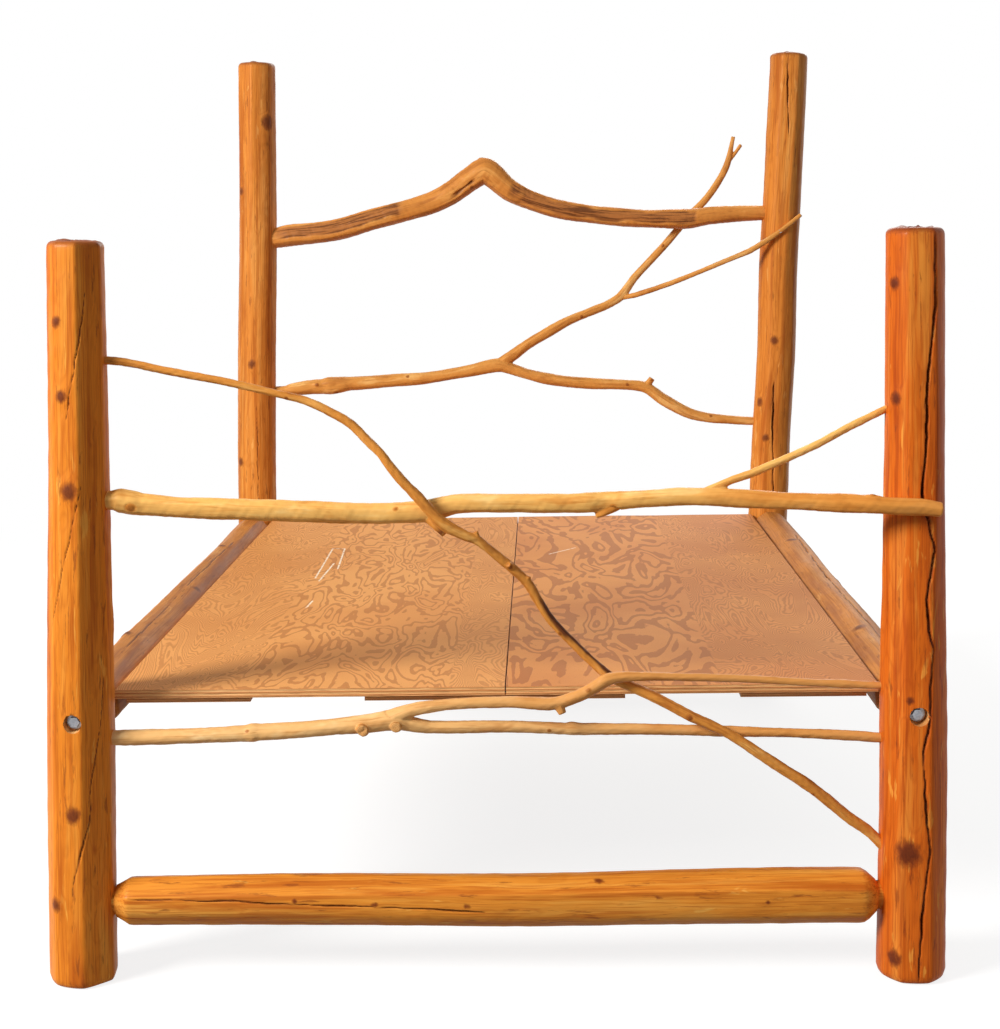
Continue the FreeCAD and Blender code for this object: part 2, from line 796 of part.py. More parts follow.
def slat_start(index):
    return f"{DECK_START} + first_slat_offset + {index}*{SLAT_STEP}"


def strap_spans():
    """(name, left edge, width) of the three lengthwise straps."""
    outer = f"({PANEL_WIDTH} + panel_gap/2 - side_strap_inset)"
    return [
        ("left", f"-{outer}", "side_strap_width"),
        ("centre", "-centre_strap_width/2", "centre_strap_width"),
        ("right", f"{outer} - side_strap_width", "side_strap_width"),
    ]


def screw_profile(length):
    """A countersunk screw pointing up its own Z, its head's top at zero."""
    return [
        ("screw_head_radius", "0"),
        ("screw_radius", "screw_head_height"),
        ("screw_radius", length),
    ]


def screw_hole_profile(length):
    """The screw's countersunk hole, open above its head."""
    grown = [(f"{radius} + screw_clearance", level) for radius, level in screw_profile(length)]
    return [("screw_head_radius + screw_clearance", "-screw_sink*2")] + grown[:2] + [
        (grown[2][0], f"{length} + screw_clearance"),
    ]


def ledger_screw_places():
    """Screws through each ledger into its rail, midway between the slats."""
    places = []
    for side in (-1, 1):
        x = side*size("post_span_width/2 - ledger_inset - ledger_width + screw_sink")
        z = size(f"{LEDGER_TOP} - ledger_thickness/3")
        for index in range(int(size("slat_count")) - 1):
            y = size(f"{slat_start(index)} + (slat_width + {SLAT_STEP})/2")
            places.append(pointing(Vector(x, y, z), ALONG_X*side))
    return places


def slat_screw_places():
    places = []
    x = size("post_span_width/2 - side_rail_radius - slat_end_gap - slat_screw_end")
    for index in range(int(size("slat_count"))):
        middle = size(f"{slat_start(index)} + slat_width/2")
        for side in (-1, 1):
            for shift in (-0.5, 0.5):
                y = middle + shift*size("slat_screw_spacing")
                places.append(pointing(Vector(side*x, y, size(f"{SLAT_TOP} - screw_sink")), -ALONG_Z))
    return places


def strap_screw_places():
    places = []
    for index in range(int(size("slat_count"))):
        y = size(f"{slat_start(index)} + slat_width/2")
        for name, left, width in strap_spans():
            for x in (f"{left} + strap_screw_edge", f"{left} + {width} - strap_screw_edge"):
                places.append(pointing(Vector(size(x), y, size(f"{PANEL_BOTTOM} - screw_sink")), -ALONG_Z))
    return places


holes = {}


def screws(kind, places):
    """A group of equal screws, and the group of holes they pass through."""
    length = f"{kind}_screw_length"
    group = copies(f"{kind}_screws_group", turned(f"{kind}_screw", screw_profile(length)), places)
    drill = turned(f"{kind}_screw_hole", screw_hole_profile(length))
    holes[kind] = copies(f"{kind}_screw_holes", drill, places)
    keep(group, f"{kind}_screws")


# ---------------------------------------------------------------- the bed

screws("ledger", ledger_screw_places())
screws("slat", slat_screw_places())
screws("strap", strap_screw_places())

for side_name, side in (("left", -1), ("right", 1)):
    keep(side_rail(side_name, side), f"{side_name}_side_rail")
    ledger = board(f"{side_name}_ledger_board", "ledger_width", LEDGER_LENGTH, "ledger_thickness")
    place(ledger, x=ledger_x(side), y=LEDGER_START, z=f"{LEDGER_TOP} - ledger_thickness")
    keep(cut(f"{side_name}_ledger_drilled", ledger, [holes["ledger"], holes["slat"]]), f"{side_name}_ledger")

keep(bed_bolts(), "bed_bolts")
keep(bed_bolt_washers(), "bed_bolt_washers")
keep(barrel_nuts(), "bed_bolt_barrel_nuts")

keep(low_end_rail("low_foot_rail_log", "foot", FOOT_Y), "low_foot_rail")
keep(low_end_rail("low_head_rail_log", "head", HEAD_Y), "low_head_rail")

top_branch, foot_lap = footboard_top_branch()
head_branch, head_lap = headboard_branch()
lags, lag_holes = lag_screws([foot_lap, head_lap])
keep(lags, "lapped_branch_lag_screws")
keep(cut("footboard_top_branch_drilled", top_branch, [lag_holes]), "footboard_top_branch")
keep(footboard_low_branch(), "footboard_low_branch")
keep(footboard_diagonal_branch(), "footboard_diagonal_branch")
keep(headboard_top_rail(), "headboard_top_rail")
keep(cut("headboard_branch_drilled", head_branch, [lag_holes]), "headboard_branch")
cutters["right_foot"].append(lag_holes)
cutters["right_head"].append(lag_holes)

for post, (side, end, y) in POSTS.items():
    log = turned(f"{post}_post_log", post_profile(end))
    place(log, x=post_axis_x(post, "0"), y=y, axis=ALONG_Y, angle=f"{post}_lean")
    floor = doc.addObject("Part::Box", f"{post}_floor_trim")
    across = f"({end}_post_base_radius*3)"
    bind(floor, Length=across, Width=across, Height="floor_trim*2")
    place(floor, x=f"{post_axis_x(post, '0')} - {across}/2", y=f"{y} - {across}/2", z="-floor_trim*2")
    keep(cut(f"{post}_post_cut", log, [floor] + cutters[post]), f"{post}_post")

for index in range(int(size("slat_count"))):
    slat = board(f"slat_{index + 1}_board", SLAT_LENGTH, "slat_width", "slat_thickness")
    place(slat, x=f"-{SLAT_LENGTH}/2", y=slat_start(index), z=LEDGER_TOP)
    keep(cut(f"slat_{index + 1}_drilled", slat, [holes["slat"], holes["strap"]]), f"deck_slat_{index + 1}")

for name, left, width in strap_spans():
    strap = board(f"{name}_strap_board", width, f"{PANEL_LENGTH} - 2*strap_setback", "strap_thickness")
    place(strap, x=left, y=f"{DECK_START} + strap_setback", z=SLAT_TOP)
    keep(cut(f"{name}_strap_drilled", strap, [holes["strap"]]), f"{name}_deck_strap")

for name, left, width in (("left", f"-{PANEL_WIDTH} - panel_gap/2", f"{PANEL_WIDTH} + seam_offset"),
                          ("right", "panel_gap/2 + seam_offset", f"{PANEL_WIDTH} - seam_offset")):
    panel = board(f"{name}_panel_board", width, PANEL_LENGTH, "panel_thickness")
    place(panel, x=left, y=DECK_START, z=PANEL_BOTTOM)
    keep(panel, f"{name}_deck_panel")


# ---------------------------------------------------------------- check and write

doc.recompute()
for item in doc.Objects:
    if "Invalid" in item.State or "Error" in item.State:
        raise RuntimeError(f"{item.Name} failed: {item.State}")
for part in parts:
    if part.Shape.isNull() or not part.Shape.isValid():
        raise RuntimeError(f"{part.Label} has no valid shape")

box = FreeCAD.BoundBox()
for part in parts:
    box.add(part.Shape.optimalBoundingBox(False, False))
centre = Vector(-box.Center.x, -box.Center.y, 0)
print("moved to the middle by", round(centre.x, 2), round(centre.y, 2))
print("size", round(box.XLength, 1), round(box.YLength, 1), round(box.ZLength, 1))

os.makedirs("parts", exist_ok=True)
for part in parts:
    shape = part.Shape.copy()
    shape.translate(centre)
    shape.exportStep(f"parts/{part.Label}.step")
    print(part.Label, len(shape.Solids), "solids", round(shape.Volume/1000), "cm3")
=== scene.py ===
import math
import bpy
import numpy as np
from mathutils import Matrix, Vector


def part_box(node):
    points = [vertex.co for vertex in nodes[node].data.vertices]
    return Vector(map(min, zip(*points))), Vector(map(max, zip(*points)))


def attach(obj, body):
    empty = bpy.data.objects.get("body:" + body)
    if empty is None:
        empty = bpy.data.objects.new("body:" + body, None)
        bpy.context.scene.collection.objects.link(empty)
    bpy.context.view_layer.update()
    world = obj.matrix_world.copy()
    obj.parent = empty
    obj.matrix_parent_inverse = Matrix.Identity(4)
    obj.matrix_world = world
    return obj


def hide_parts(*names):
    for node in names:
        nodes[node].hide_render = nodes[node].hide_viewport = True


# The looks of a peeled-log four poster bed: logs with shaved facets, knots and drying
# cracks, natural branches grown from limbs, a rotary-cut fir plywood deck, and steel
# bed bolts in their recesses. Metres; +X right, +Y to the head end, +Z up.

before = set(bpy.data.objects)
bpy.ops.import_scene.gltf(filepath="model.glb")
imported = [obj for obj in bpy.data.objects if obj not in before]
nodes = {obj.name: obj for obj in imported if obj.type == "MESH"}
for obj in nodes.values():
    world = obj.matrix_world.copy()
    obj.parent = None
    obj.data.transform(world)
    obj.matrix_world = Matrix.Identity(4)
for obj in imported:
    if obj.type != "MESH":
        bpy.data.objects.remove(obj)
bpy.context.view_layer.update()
MM = 0.001


# ---------------------------------------------------------------- places read from the frame

def level_centre(node, low, high):
    """The middle of a CAD node's cross-section between two heights."""
    points = np.array([vertex.co for vertex in nodes[node].data.vertices])
    band = points[(points[:, 2] >= low) & (points[:, 2] <= high)]
    return Vector((band.min(axis=0) + band.max(axis=0))/2)


def post_line(node):
    """A post's centre line, from the floor to its top."""
    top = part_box(node)[1].z
    foot = level_centre(node, -0.001, 0.001)
    foot.z = 0
    head = level_centre(node, top - 0.004, top)
    head.z = top
    return foot, head


POSTS = {name: post_line(f"{name}_post") for name in ("left_foot", "right_foot", "left_head", "right_head")}
panel_low, panel_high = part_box("left_deck_panel")
DECK_TOP = panel_high.z
SEAM_X = panel_high.x + MM
RAIL_BOXES = [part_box(f"{side}_side_rail") for side in ("left", "right")]
DECK_MIDDLE_X = sum(low.x + high.x for low, high in RAIL_BOXES)/4
FOOT_Y = POSTS["left_foot"][0].y
HEAD_Y = POSTS["left_head"][0].y
SIDE_RAIL_Z = (RAIL_BOXES[0][0].z + RAIL_BOXES[0][1].z)/2
HALF_SPAN = (RAIL_BOXES[1][0].x + RAIL_BOXES[1][1].x)/2 - DECK_MIDDLE_X


def on_post(post, height):
    """A post's centre line at a height in metres."""
    foot, head = POSTS[post]
    return foot.lerp(head, height/head.z)


# ---------------------------------------------------------------- uneven surfaces

class Unevenness:
    """A smooth seeded field over (distance along, angle around), about -1 to 1."""

    def __init__(self, seed, along, around, waves=14):
        chance = np.random.default_rng(seed)
        self.along = chance.normal(0, along, waves)
        self.around = chance.integers(-around, around + 1, waves)
        self.phase = chance.uniform(0, 2*math.pi, waves)
        self.share = math.sqrt(2/waves)

    def at(self, distance, angle):
        total = np.zeros(np.broadcast(distance, angle).shape)
        for along, around, phase in zip(self.along, self.around, self.phase):
            total += np.sin(distance*along*2*math.pi + angle*around + phase)
        return total*self.share


def shaved_facets(distance, angle, seed, count, depth):
    """A log's radius as a share, where a drawknife has left long flats with soft edges."""
    chance = np.random.default_rng(seed)
    sharpness = 34
    total = np.zeros(np.broadcast(distance, angle).shape)
    for index in range(count):
        facing = (index + chance.uniform(-0.32, 0.32))*2*math.pi/count
        drift = Unevenness(seed*31 + index, 0.5, 0, 5).at(distance, 0*distance)
        set_in = 1 + 0.022*drift
        turn = 0.10*Unevenness(seed*57 + index, 0.35, 0, 4).at(distance, 0*distance)
        reach = np.maximum(np.cos(angle - facing - turn)/set_in, 0)
        total += reach**sharpness
    flats = total**(-1/sharpness)
    return 1 + depth*(flats/flats.mean() - 1)


def wrapped(angle):
    return (angle + math.pi) % (2*math.pi) - math.pi


def knot_marks(distance, angle, radius, knots):
    """(raised height in metres, mark from 0 to 1) of knots (along, degrees, size, height)."""
    raised = np.zeros(radius.shape)
    mark = np.zeros(radius.shape)
    for along, degrees, knot_size, height in knots:
        aside = wrapped(angle - math.radians(degrees))*radius
        away = np.sqrt(((distance - along)/1.15)**2 + aside**2)/knot_size
        swelling = np.exp(-(away/1.9)**2)
        groove = np.exp(-((away - 1.0)/0.22)**2)
        raised += height*swelling - 0.0007*groove
        mark = np.maximum(mark, np.clip(1.9 - away, 0, 1.9)/1.9)
    return raised, mark


def crack_marks(distance, angle, radius, cracks, seed):
    """(cut depth in metres, mark from 0 to 1) of drying cracks ((along, degrees), ...), width, depth."""
    cut = np.zeros(radius.shape)
    mark = np.zeros(radius.shape)
    for index, (line, width, depth) in enumerate(cracks):
        places = np.array([along for along, degrees in line])
        turns = np.radians([degrees for along, degrees in line])
        wander = 0.014*Unevenness(seed*13 + index, 9, 0, 8).at(distance, 0*distance)
        wander = wander + 0.006*Unevenness(seed*19 + index, 38, 0, 12).at(distance, 0*distance)
        centre = np.interp(distance, places, turns) + wander
        inside = np.minimum(distance - places[0], places[-1] - distance)
        fade = np.clip(inside/0.035, 0, 1)*(0.75 + 0.25*Unevenness(seed*17 + index, 6, 0, 6).at(distance, 0*distance))
        half = np.maximum(width/2*fade, 1e-5)
        away = np.abs(wrapped(angle - centre))*radius/half
        cut = np.maximum(cut, depth*fade*np.clip(1.25 - away, 0, 1))
        mark = np.maximum(mark, np.clip(1.7 - away, 0, 1)*np.clip(fade*3, 0, 1))
    return cut, mark


def add_field(mesh, name, values):
    mesh.attributes.new(name, "FLOAT", "POINT").data.foreach_set("value", np.ravel(values).astype(np.float32))


def add_grain(mesh, places):
    field = mesh.attributes.new("grain", "FLOAT_VECTOR", "POINT")
    field.data.foreach_set("vector", np.ravel(places).astype(np.float32))


def piece_from_mesh(name, mesh, body="bed_frame"):
    mesh.shade_smooth()
    piece = bpy.data.objects.new(name, mesh)
    bpy.context.scene.collection.objects.link(piece)
    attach(piece, body)
    return piece


# ---------------------------------------------------------------- logs

def log_piece(name, start, end, front, profile, seed, facets=(9, 0.55), knots=(), cracks=(),
              sway=0.0018, around=200, step=0.006):
    """A peeled log along a line; profile is (distance, radius) pairs, front is angle zero."""
    line = (end - start).normalized()
    front = (front - line*front.dot(line)).normalized()
    aside = line.cross(front)
    distances = [profile[0][0]]
    for (near, near_radius), (far, far_radius) in zip(profile, profile[1:]):
        pieces = max(1, math.ceil((far - near)/step))
        distances.extend(np.linspace(near, far, pieces + 1)[1:])
    distances = np.array(distances)
    base = np.interp(distances, [d for d, r in profile], [r for d, r in profile])

    cap_shares = [0.92, 0.75, 0.5, 0.25, 0.06]
    rows = [(distances[0], base[0]*share, 1.0) for share in reversed(cap_shares)]
    rows += [(distance, radius, 0.0) for distance, radius in zip(distances, base)]
    rows += [(distances[-1], base[-1]*share, 1.0) for share in cap_shares]
    rows = np.array(rows)
    distance = rows[:, 0:1]
    angle = np.linspace(0, 2*math.pi, around, endpoint=False)[None, :]
    size = rows[:, 1:2]*np.ones_like(angle)
    on_end = rows[:, 2:3]*np.ones_like(angle)

    shape = shaved_facets(distance, angle, seed, *facets)
    shape = shape*(1 + 0.007*Unevenness(seed + 1, 1.2, 2).at(distance, angle))
    radius = size*shape
    radius = radius + 0.0002*Unevenness(seed + 2, 14, 9, 22).at(distance, angle)*(1 - on_end)
    raised, knot = knot_marks(distance, angle, size, knots)
    cut, crack = crack_marks(distance, angle, size, cracks, seed)
    radius = radius + (raised - cut)*(1 - on_end)

    length = profile[-1][0] - profile[0][0]
    along = (distance - profile[0][0])/length
    ease = np.sin(np.pi*np.clip(along, 0, 1))
    drift_x = sway*ease*Unevenness(seed + 3, 0.7, 0, 4).at(distance, 0*distance)
    drift_y = sway*ease*Unevenness(seed + 4, 0.7, 0, 4).at(distance, 0*distance)
    hollow = 0.0016*on_end*Unevenness(seed + 5, 3, 5).at(size*40, angle)
    across = radius*np.cos(angle) + drift_x
    beside = radius*np.sin(angle) + drift_y
    forward = distance + hollow + 0*angle
    places = (np.array(start)[None, None, :] + across[..., None]*np.array(front)
              + beside[..., None]*np.array(aside) + forward[..., None]*np.array(line))

    ring_count = len(rows)
    vertices = places.reshape(-1, 3)
    vertices[:, 2] = np.maximum(vertices[:, 2], 0)
    index = np.arange(ring_count*around).reshape(ring_count, around)
    ahead = np.roll(index, -1, axis=1)
    faces = np.stack([index[:-1], ahead[:-1], ahead[1:], index[1:]], axis=-1).reshape(-1, 4).tolist()
    faces.append(index[0][::-1].tolist())
    faces.append(index[-1].tolist())
    mesh = bpy.data.meshes.new(name)
    mesh.from_pydata(vertices.tolist(), [], faces)
    grain = np.stack([radius*np.cos(angle) + seed*0.37, radius*np.sin(angle) + seed*0.21, distance + 0*angle], -1)
    add_grain(mesh, grain)
    add_field(mesh, "knot", knot*(1 - on_end))
    add_field(mesh, "crack", crack)
    add_field(mesh, "end", on_end)
    add_field(mesh, "rim", np.clip((distance - profile[-1][0] + 0.014)/0.010, 0, 1) + 0*angle)
    from_pith = np.sqrt((radius*np.cos(angle))**2 + (radius*np.sin(angle))**2)
    add_field(mesh, "pith", from_pith)
    return piece_from_mesh(name, mesh)


def rounded_end(at, radius, bevel, outward):
    """Profile points of a softly rounded end."""
    points = []
    for share in (0.0, 0.25, 0.5, 0.75, 1.0):
        turn = share*math.pi/2
        points.append((at - outward*bevel*(1 - math.sin(turn)), radius - bevel*(1 - math.cos(turn))))
    return points if outward > 0 else points[::-1]


# ---------------------------------------------------------------- branches

def smooth_line(stations, spacing=0.004):
    """Points, radii and distances along a curve through (place, radius) stations."""
    places = [np.array(place) for place, radius in stations]
    radii = [radius for place, radius in stations]
    places = [2*places[0] - places[1]] + places + [2*places[-1] - places[-2]]
    radii = [radii[0]] + radii + [radii[-1]]
    points = []
    sizes = []
    for index in range(1, len(places) - 2):
        a, b, c, d = places[index - 1:index + 3]
        steps = max(2, int(np.linalg.norm(c - b)/spacing))
        tight_in = 0.5*min(1, np.linalg.norm(c - b)/max(np.linalg.norm(b - a), 1e-6))
        tight_out = 0.5*min(1, np.linalg.norm(c - b)/max(np.linalg.norm(d - c), 1e-6))
        for share in np.linspace(0, 1, steps, endpoint=False):
            t2, t3 = share**2, share**3
            point = ((2*t3 - 3*t2 + 1)*b + (t3 - 2*t2 + share)*tight_in*(c - a)
                     + (-2*t3 + 3*t2)*c + (t3 - t2)*tight_out*(d - b))
            points.append(point)
            ease = share*share*(3 - 2*share)
            sizes.append(radii[index] + (radii[index + 1] - radii[index])*ease)
    points.append(places[-2])
    sizes.append(radii[-2])
    points = np.array(points)
    gaps = np.linalg.norm(np.diff(points, axis=0), axis=1)
    return points, np.array(sizes), np.concatenate([[0], np.cumsum(gaps)])


def moving_frames(points):
    """(along, first, second) unit directions at each point, turning as little as they can."""
    along = np.gradient(points, axis=0)
    along = along/np.linalg.norm(along, axis=1)[:, None]
    first = np.zeros_like(along)
    guide = np.array((0.0, -1.0, 0.0))
    for index, direction in enumerate(along):
        guide = guide - direction*guide.dot(direction)
        guide = guide/np.linalg.norm(guide)
        first[index] = guide
    return along, first, np.cross(along, first)


def tube_faces(rings, around, offset):
    index = np.arange(rings*around).reshape(rings, around) + offset
    ahead = np.roll(index, -1, axis=1)
    faces = np.stack([index[:-1], ahead[:-1], ahead[1:], index[1:]], axis=-1).reshape(-1, 4).tolist()
    return faces + [index[0][::-1].tolist(), index[-1].tolist()]


def branch_piece(name, limbs, seed, knots=(), voxel=0.0021, channels=()):
    """One branch grown together from limbs; knots are (limb, share along, degrees, size, height)
    and channels, dark sunken strips, are (limb, first share, last share, degrees, half width, depth)."""
    around = 20
    angle = np.linspace(0, 2*math.pi, around, endpoint=False)
    vertices = []
    faces = []
    spines = []
    offset = 0
    for stations in limbs:
        points, sizes, lengths = smooth_line(stations)
        along, first, second = moving_frames(points)
        ring = (np.cos(angle)[None, :, None]*first[:, None, :] + np.sin(angle)[None, :, None]*second[:, None, :])
        vertices.append((points[:, None, :] + ring*sizes[:, None, None]).reshape(-1, 3))
        faces.extend(tube_faces(len(points), around, offset))
        offset += len(points)*around
        spines.append((points, sizes, lengths, along, first, second))
    rough_mesh = bpy.data.meshes.new(f"{name}_limbs")
    rough_mesh.from_pydata(np.concatenate(vertices).tolist(), [], faces)
    rough_piece = bpy.data.objects.new(f"{name}_limbs", rough_mesh)
    bpy.context.scene.collection.objects.link(rough_piece)
    grow = rough_piece.modifiers.new("grow_together", "REMESH")
    grow.mode = "VOXEL"
    grow.voxel_size = voxel
    soften = rough_piece.modifiers.new("soften", "SMOOTH")
    soften.factor = 0.5
    soften.iterations = 4
    mesh = bpy.data.meshes.new_from_object(rough_piece.evaluated_get(bpy.context.evaluated_depsgraph_get()))
    mesh.name = name
    bpy.data.objects.remove(rough_piece)

    count = len(mesh.vertices)
    place = np.zeros(count*3, np.float32)
    mesh.vertices.foreach_get("co", place)
    place = place.reshape(-1, 3).astype(float)
    normal = np.zeros(count*3, np.float32)
    mesh.vertices.foreach_get("normal", normal)
    normal = normal.reshape(-1, 3).astype(float)
    points, sizes, lengths, along, first, second = (np.concatenate([spine[k] for spine in spines]) for k in range(6))
    limb_of = np.concatenate([np.full(len(spine[0]), k) for k, spine in enumerate(spines)])
    nearest = np.zeros(count, int)
    for low in range(0, count, 4000):
        apart = place[low:low + 4000, None, :] - points[None, :, :]
        gap = np.sqrt((apart**2).sum(axis=2)) - sizes[None, :]
        nearest[low:low + 4000] = gap.argmin(axis=1)
    offset_from_spine = place - points[nearest]
    forward = (offset_from_spine*along[nearest]).sum(axis=1)
    x = (offset_from_spine*first[nearest]).sum(axis=1)
    y = (offset_from_spine*second[nearest]).sum(axis=1)
    turn = np.arctan2(y, x)
    distance = lengths[nearest] + forward
    size = sizes[nearest]
    limb = limb_of[nearest]
    seed_turn = distance + limb*1.7
    bump = size*0.4*(shaved_facets(seed_turn, turn, seed, 7, 0.9) - 1)
    bump = bump + size*0.03*Unevenness(seed + 1, 5, 2).at(seed_turn, turn)
    bump = bump + 0.0002*Unevenness(seed + 2, 34, 6, 24).at(seed_turn, turn)
    channel = np.zeros(count)
    for limb_index, first_share, last_share, degrees, half_width, depth in channels:
        spine_length = spines[limb_index][2][-1]
        rag = 0.012*Unevenness(seed + 6, 7, 2, 20).at(distance, turn)
        inside = np.minimum(distance - first_share*spine_length, last_share*spine_length - distance)
        aside = np.abs(wrapped(turn - math.radians(degrees)))*size + rag*0.25
        strip = np.clip((inside + rag)/0.02, 0, 1)*np.clip((math.radians(half_width)*size - aside)/0.006, 0, 1)
        strip = strip*(limb == limb_index)
        bump = bump - depth*strip
        channel = np.maximum(channel, strip)
    knot = np.zeros(count)
    for limb_index, share, degrees, knot_size, height in knots:
        spine_length = spines[limb_index][2][-1]
        raised, mark = knot_marks(distance, turn, size, [(share*spine_length, degrees, knot_size, height)])
        bump = bump + raised*(limb == limb_index)
        knot = np.maximum(knot, mark*(limb == limb_index))
    place = place + normal*bump[:, None]
    mesh.vertices.foreach_set("co", place.astype(np.float32).ravel())
    last = np.array([spine[2][-1] for spine in spines])[limb]
    end = np.clip((distance - last + 0.0025)/0.002, 0, 1)
    add_grain(mesh, np.stack([x + seed*0.31, y + seed*0.17, distance + limb*0.83], -1))
    add_field(mesh, "knot", knot)
    add_field(mesh, "crack", np.zeros(count))
    add_field(mesh, "end", end)
    add_field(mesh, "pith", np.sqrt(x*x + y*y))
    add_field(mesh, "channel", channel)
    mesh.update()
    return piece_from_mesh(name, mesh)


def at(end_y, stations):
    """Stations given as (share of half the post span, depth mm, height mm, radius mm)."""
    return [(Vector((DECK_MIDDLE_X + share*HALF_SPAN, end_y + depth*MM, height*MM)), radius*MM)
            for share, depth, height, radius in stations]


def into_post(post, height, radius, reach=35):
    """A station just inside a post's bed-facing side."""
    centre = on_post(post, height*MM)
    toward = 1 if post.startswith("left") else -1
    return (centre + Vector((toward*reach*MM, 0, 0)), radius*MM)


# ---------------------------------------------------------------- colours and node trees

def shade(red, green, blue):
    """A colour as seen on a screen, 0 to 255, in the scene's linear values."""
    def linear(level):
        level = level/255
        return level/12.92 if level <= 0.04045 else ((level + 0.055)/1.055)**2.4
    return (linear(red), linear(green), linear(blue), 1)


class Finish:
    """A material's node tree, and short ways to add to it."""

    def __init__(self, name):
        self.material = bpy.data.materials.new(name)
        self.material.use_nodes = True
        self.tree = self.material.node_tree
        self.shader = self.tree.nodes["Principled BSDF"]

    def node(self, kind, *inputs, **settings):
        made = self.tree.nodes.new(kind)
        for name, setting in settings.items():
            setattr(made, name, setting)
        for socket, value in zip(made.inputs, inputs):
            self.feed(socket, value)
        return made

    def feed(self, socket, value):
        if isinstance(value, bpy.types.NodeSocket):
            self.tree.links.new(value, socket)
        elif value is not None:
            socket.default_value = value

    def field(self, name):
        return self.node("ShaderNodeAttribute", attribute_name=name)

    def number(self, name):
        return self.field(name).outputs["Fac"]

    def scaled(self, vector, x, y, z):
        return self.node("ShaderNodeVectorMath", vector, (x, y, z), operation="MULTIPLY").outputs[0]

    def moved(self, vector, x, y, z):
        return self.node("ShaderNodeVectorMath", vector, (x, y, z), operation="ADD").outputs[0]

    def noise(self, vector, scale, detail=3.0, roughness=0.5, distortion=0.0):
        made = self.node("ShaderNodeTexNoise")
        self.feed(made.inputs["Vector"], vector)
        for name, value in (("Scale", scale), ("Detail", detail), ("Roughness", roughness),
                            ("Distortion", distortion)):
            self.feed(made.inputs[name], value)
        return made.outputs["Fac"]

    def math(self, operation, *inputs):
        return self.node("ShaderNodeMath", *inputs, operation=operation).outputs[0]

    def between(self, value, low, high):
        """0 below low, 1 above high, smooth between."""
        made = self.node("ShaderNodeMapRange", value, low, high, interpolation_type="SMOOTHSTEP")
        return made.outputs[0]

    def mix(self, share, first, second, blend="MIX"):
        made = self.node("ShaderNodeMix", data_type="RGBA", blend_type=blend)
        self.feed(made.inputs[0], share)
        self.feed(made.inputs[6], first)
        self.feed(made.inputs[7], second)
        return made.outputs[2]

    def bump(self, height, distance, strength=1.0, normal=None):
        made = self.node("ShaderNodeBump")
        self.feed(made.inputs["Strength"], strength)
        self.feed(made.inputs["Distance"], distance)
        self.feed(made.inputs["Height"], height)
        self.feed(made.inputs["Normal"], normal)
        return made.outputs["Normal"]

    def finish(self, colour, roughness, normal=None, coat=0.0, coat_roughness=0.2, specular=0.5, metallic=0.0):
        self.feed(self.shader.inputs["Base Color"], colour)
        self.feed(self.shader.inputs["Roughness"], roughness)
        self.feed(self.shader.inputs["Normal"], normal)
        self.shader.inputs["Coat Weight"].default_value = coat
        self.shader.inputs["Coat Roughness"].default_value = coat_roughness
        self.shader.inputs["Coat IOR"].default_value = 1.3
        self.shader.inputs["Specular IOR Level"].default_value = specular
        self.shader.inputs["Metallic"].default_value = metallic
        return self.material


def knot_colour(paint, colour, grain, dark, halo, strength):
    """Knots: a soft ragged halo round a blotched dark heart."""
    mark = paint.number("knot")
    rag = paint.math("SUBTRACT", paint.noise(paint.scaled(grain, 120, 120, 60), 1.0, 3, 0.6), 0.5)
    ragged = paint.math("MULTIPLY_ADD", rag, paint.math("MULTIPLY", paint.between(mark, 0.0, 0.2), 0.75), mark)
    colour = paint.mix(paint.math("MULTIPLY", paint.between(ragged, 0.12, 0.55), 0.85), colour, halo)
    heart = paint.mix(paint.noise(paint.scaled(grain, 260, 260, 160), 1.0, 2), dark, halo)
    return paint.mix(paint.math("MULTIPLY", paint.between(ragged, 0.46, 0.72), strength), colour, heart)


def end_grain(paint, colour, rim, heart):
    """Sawn ends: growth rings round the pith, and blotches in the rim colour."""
    grain = paint.field("grain").outputs["Vector"]
    pith = paint.number("pith")
    wobble = paint.noise(grain, 30, 3)
    rings = paint.math("SINE", paint.math("ADD", paint.math("MULTIPLY", pith, 2100.0),
                                          paint.math("MULTIPLY", wobble, 9.0)))
    sawn = paint.mix(paint.math("MULTIPLY_ADD", rings, 0.3, 0.35), heart, rim)
    sawn = paint.mix(paint.math("MULTIPLY", paint.between(wobble, 0.35, 0.7), 0.6), sawn, rim)
    return paint.mix(paint.number("end"), colour, sawn)


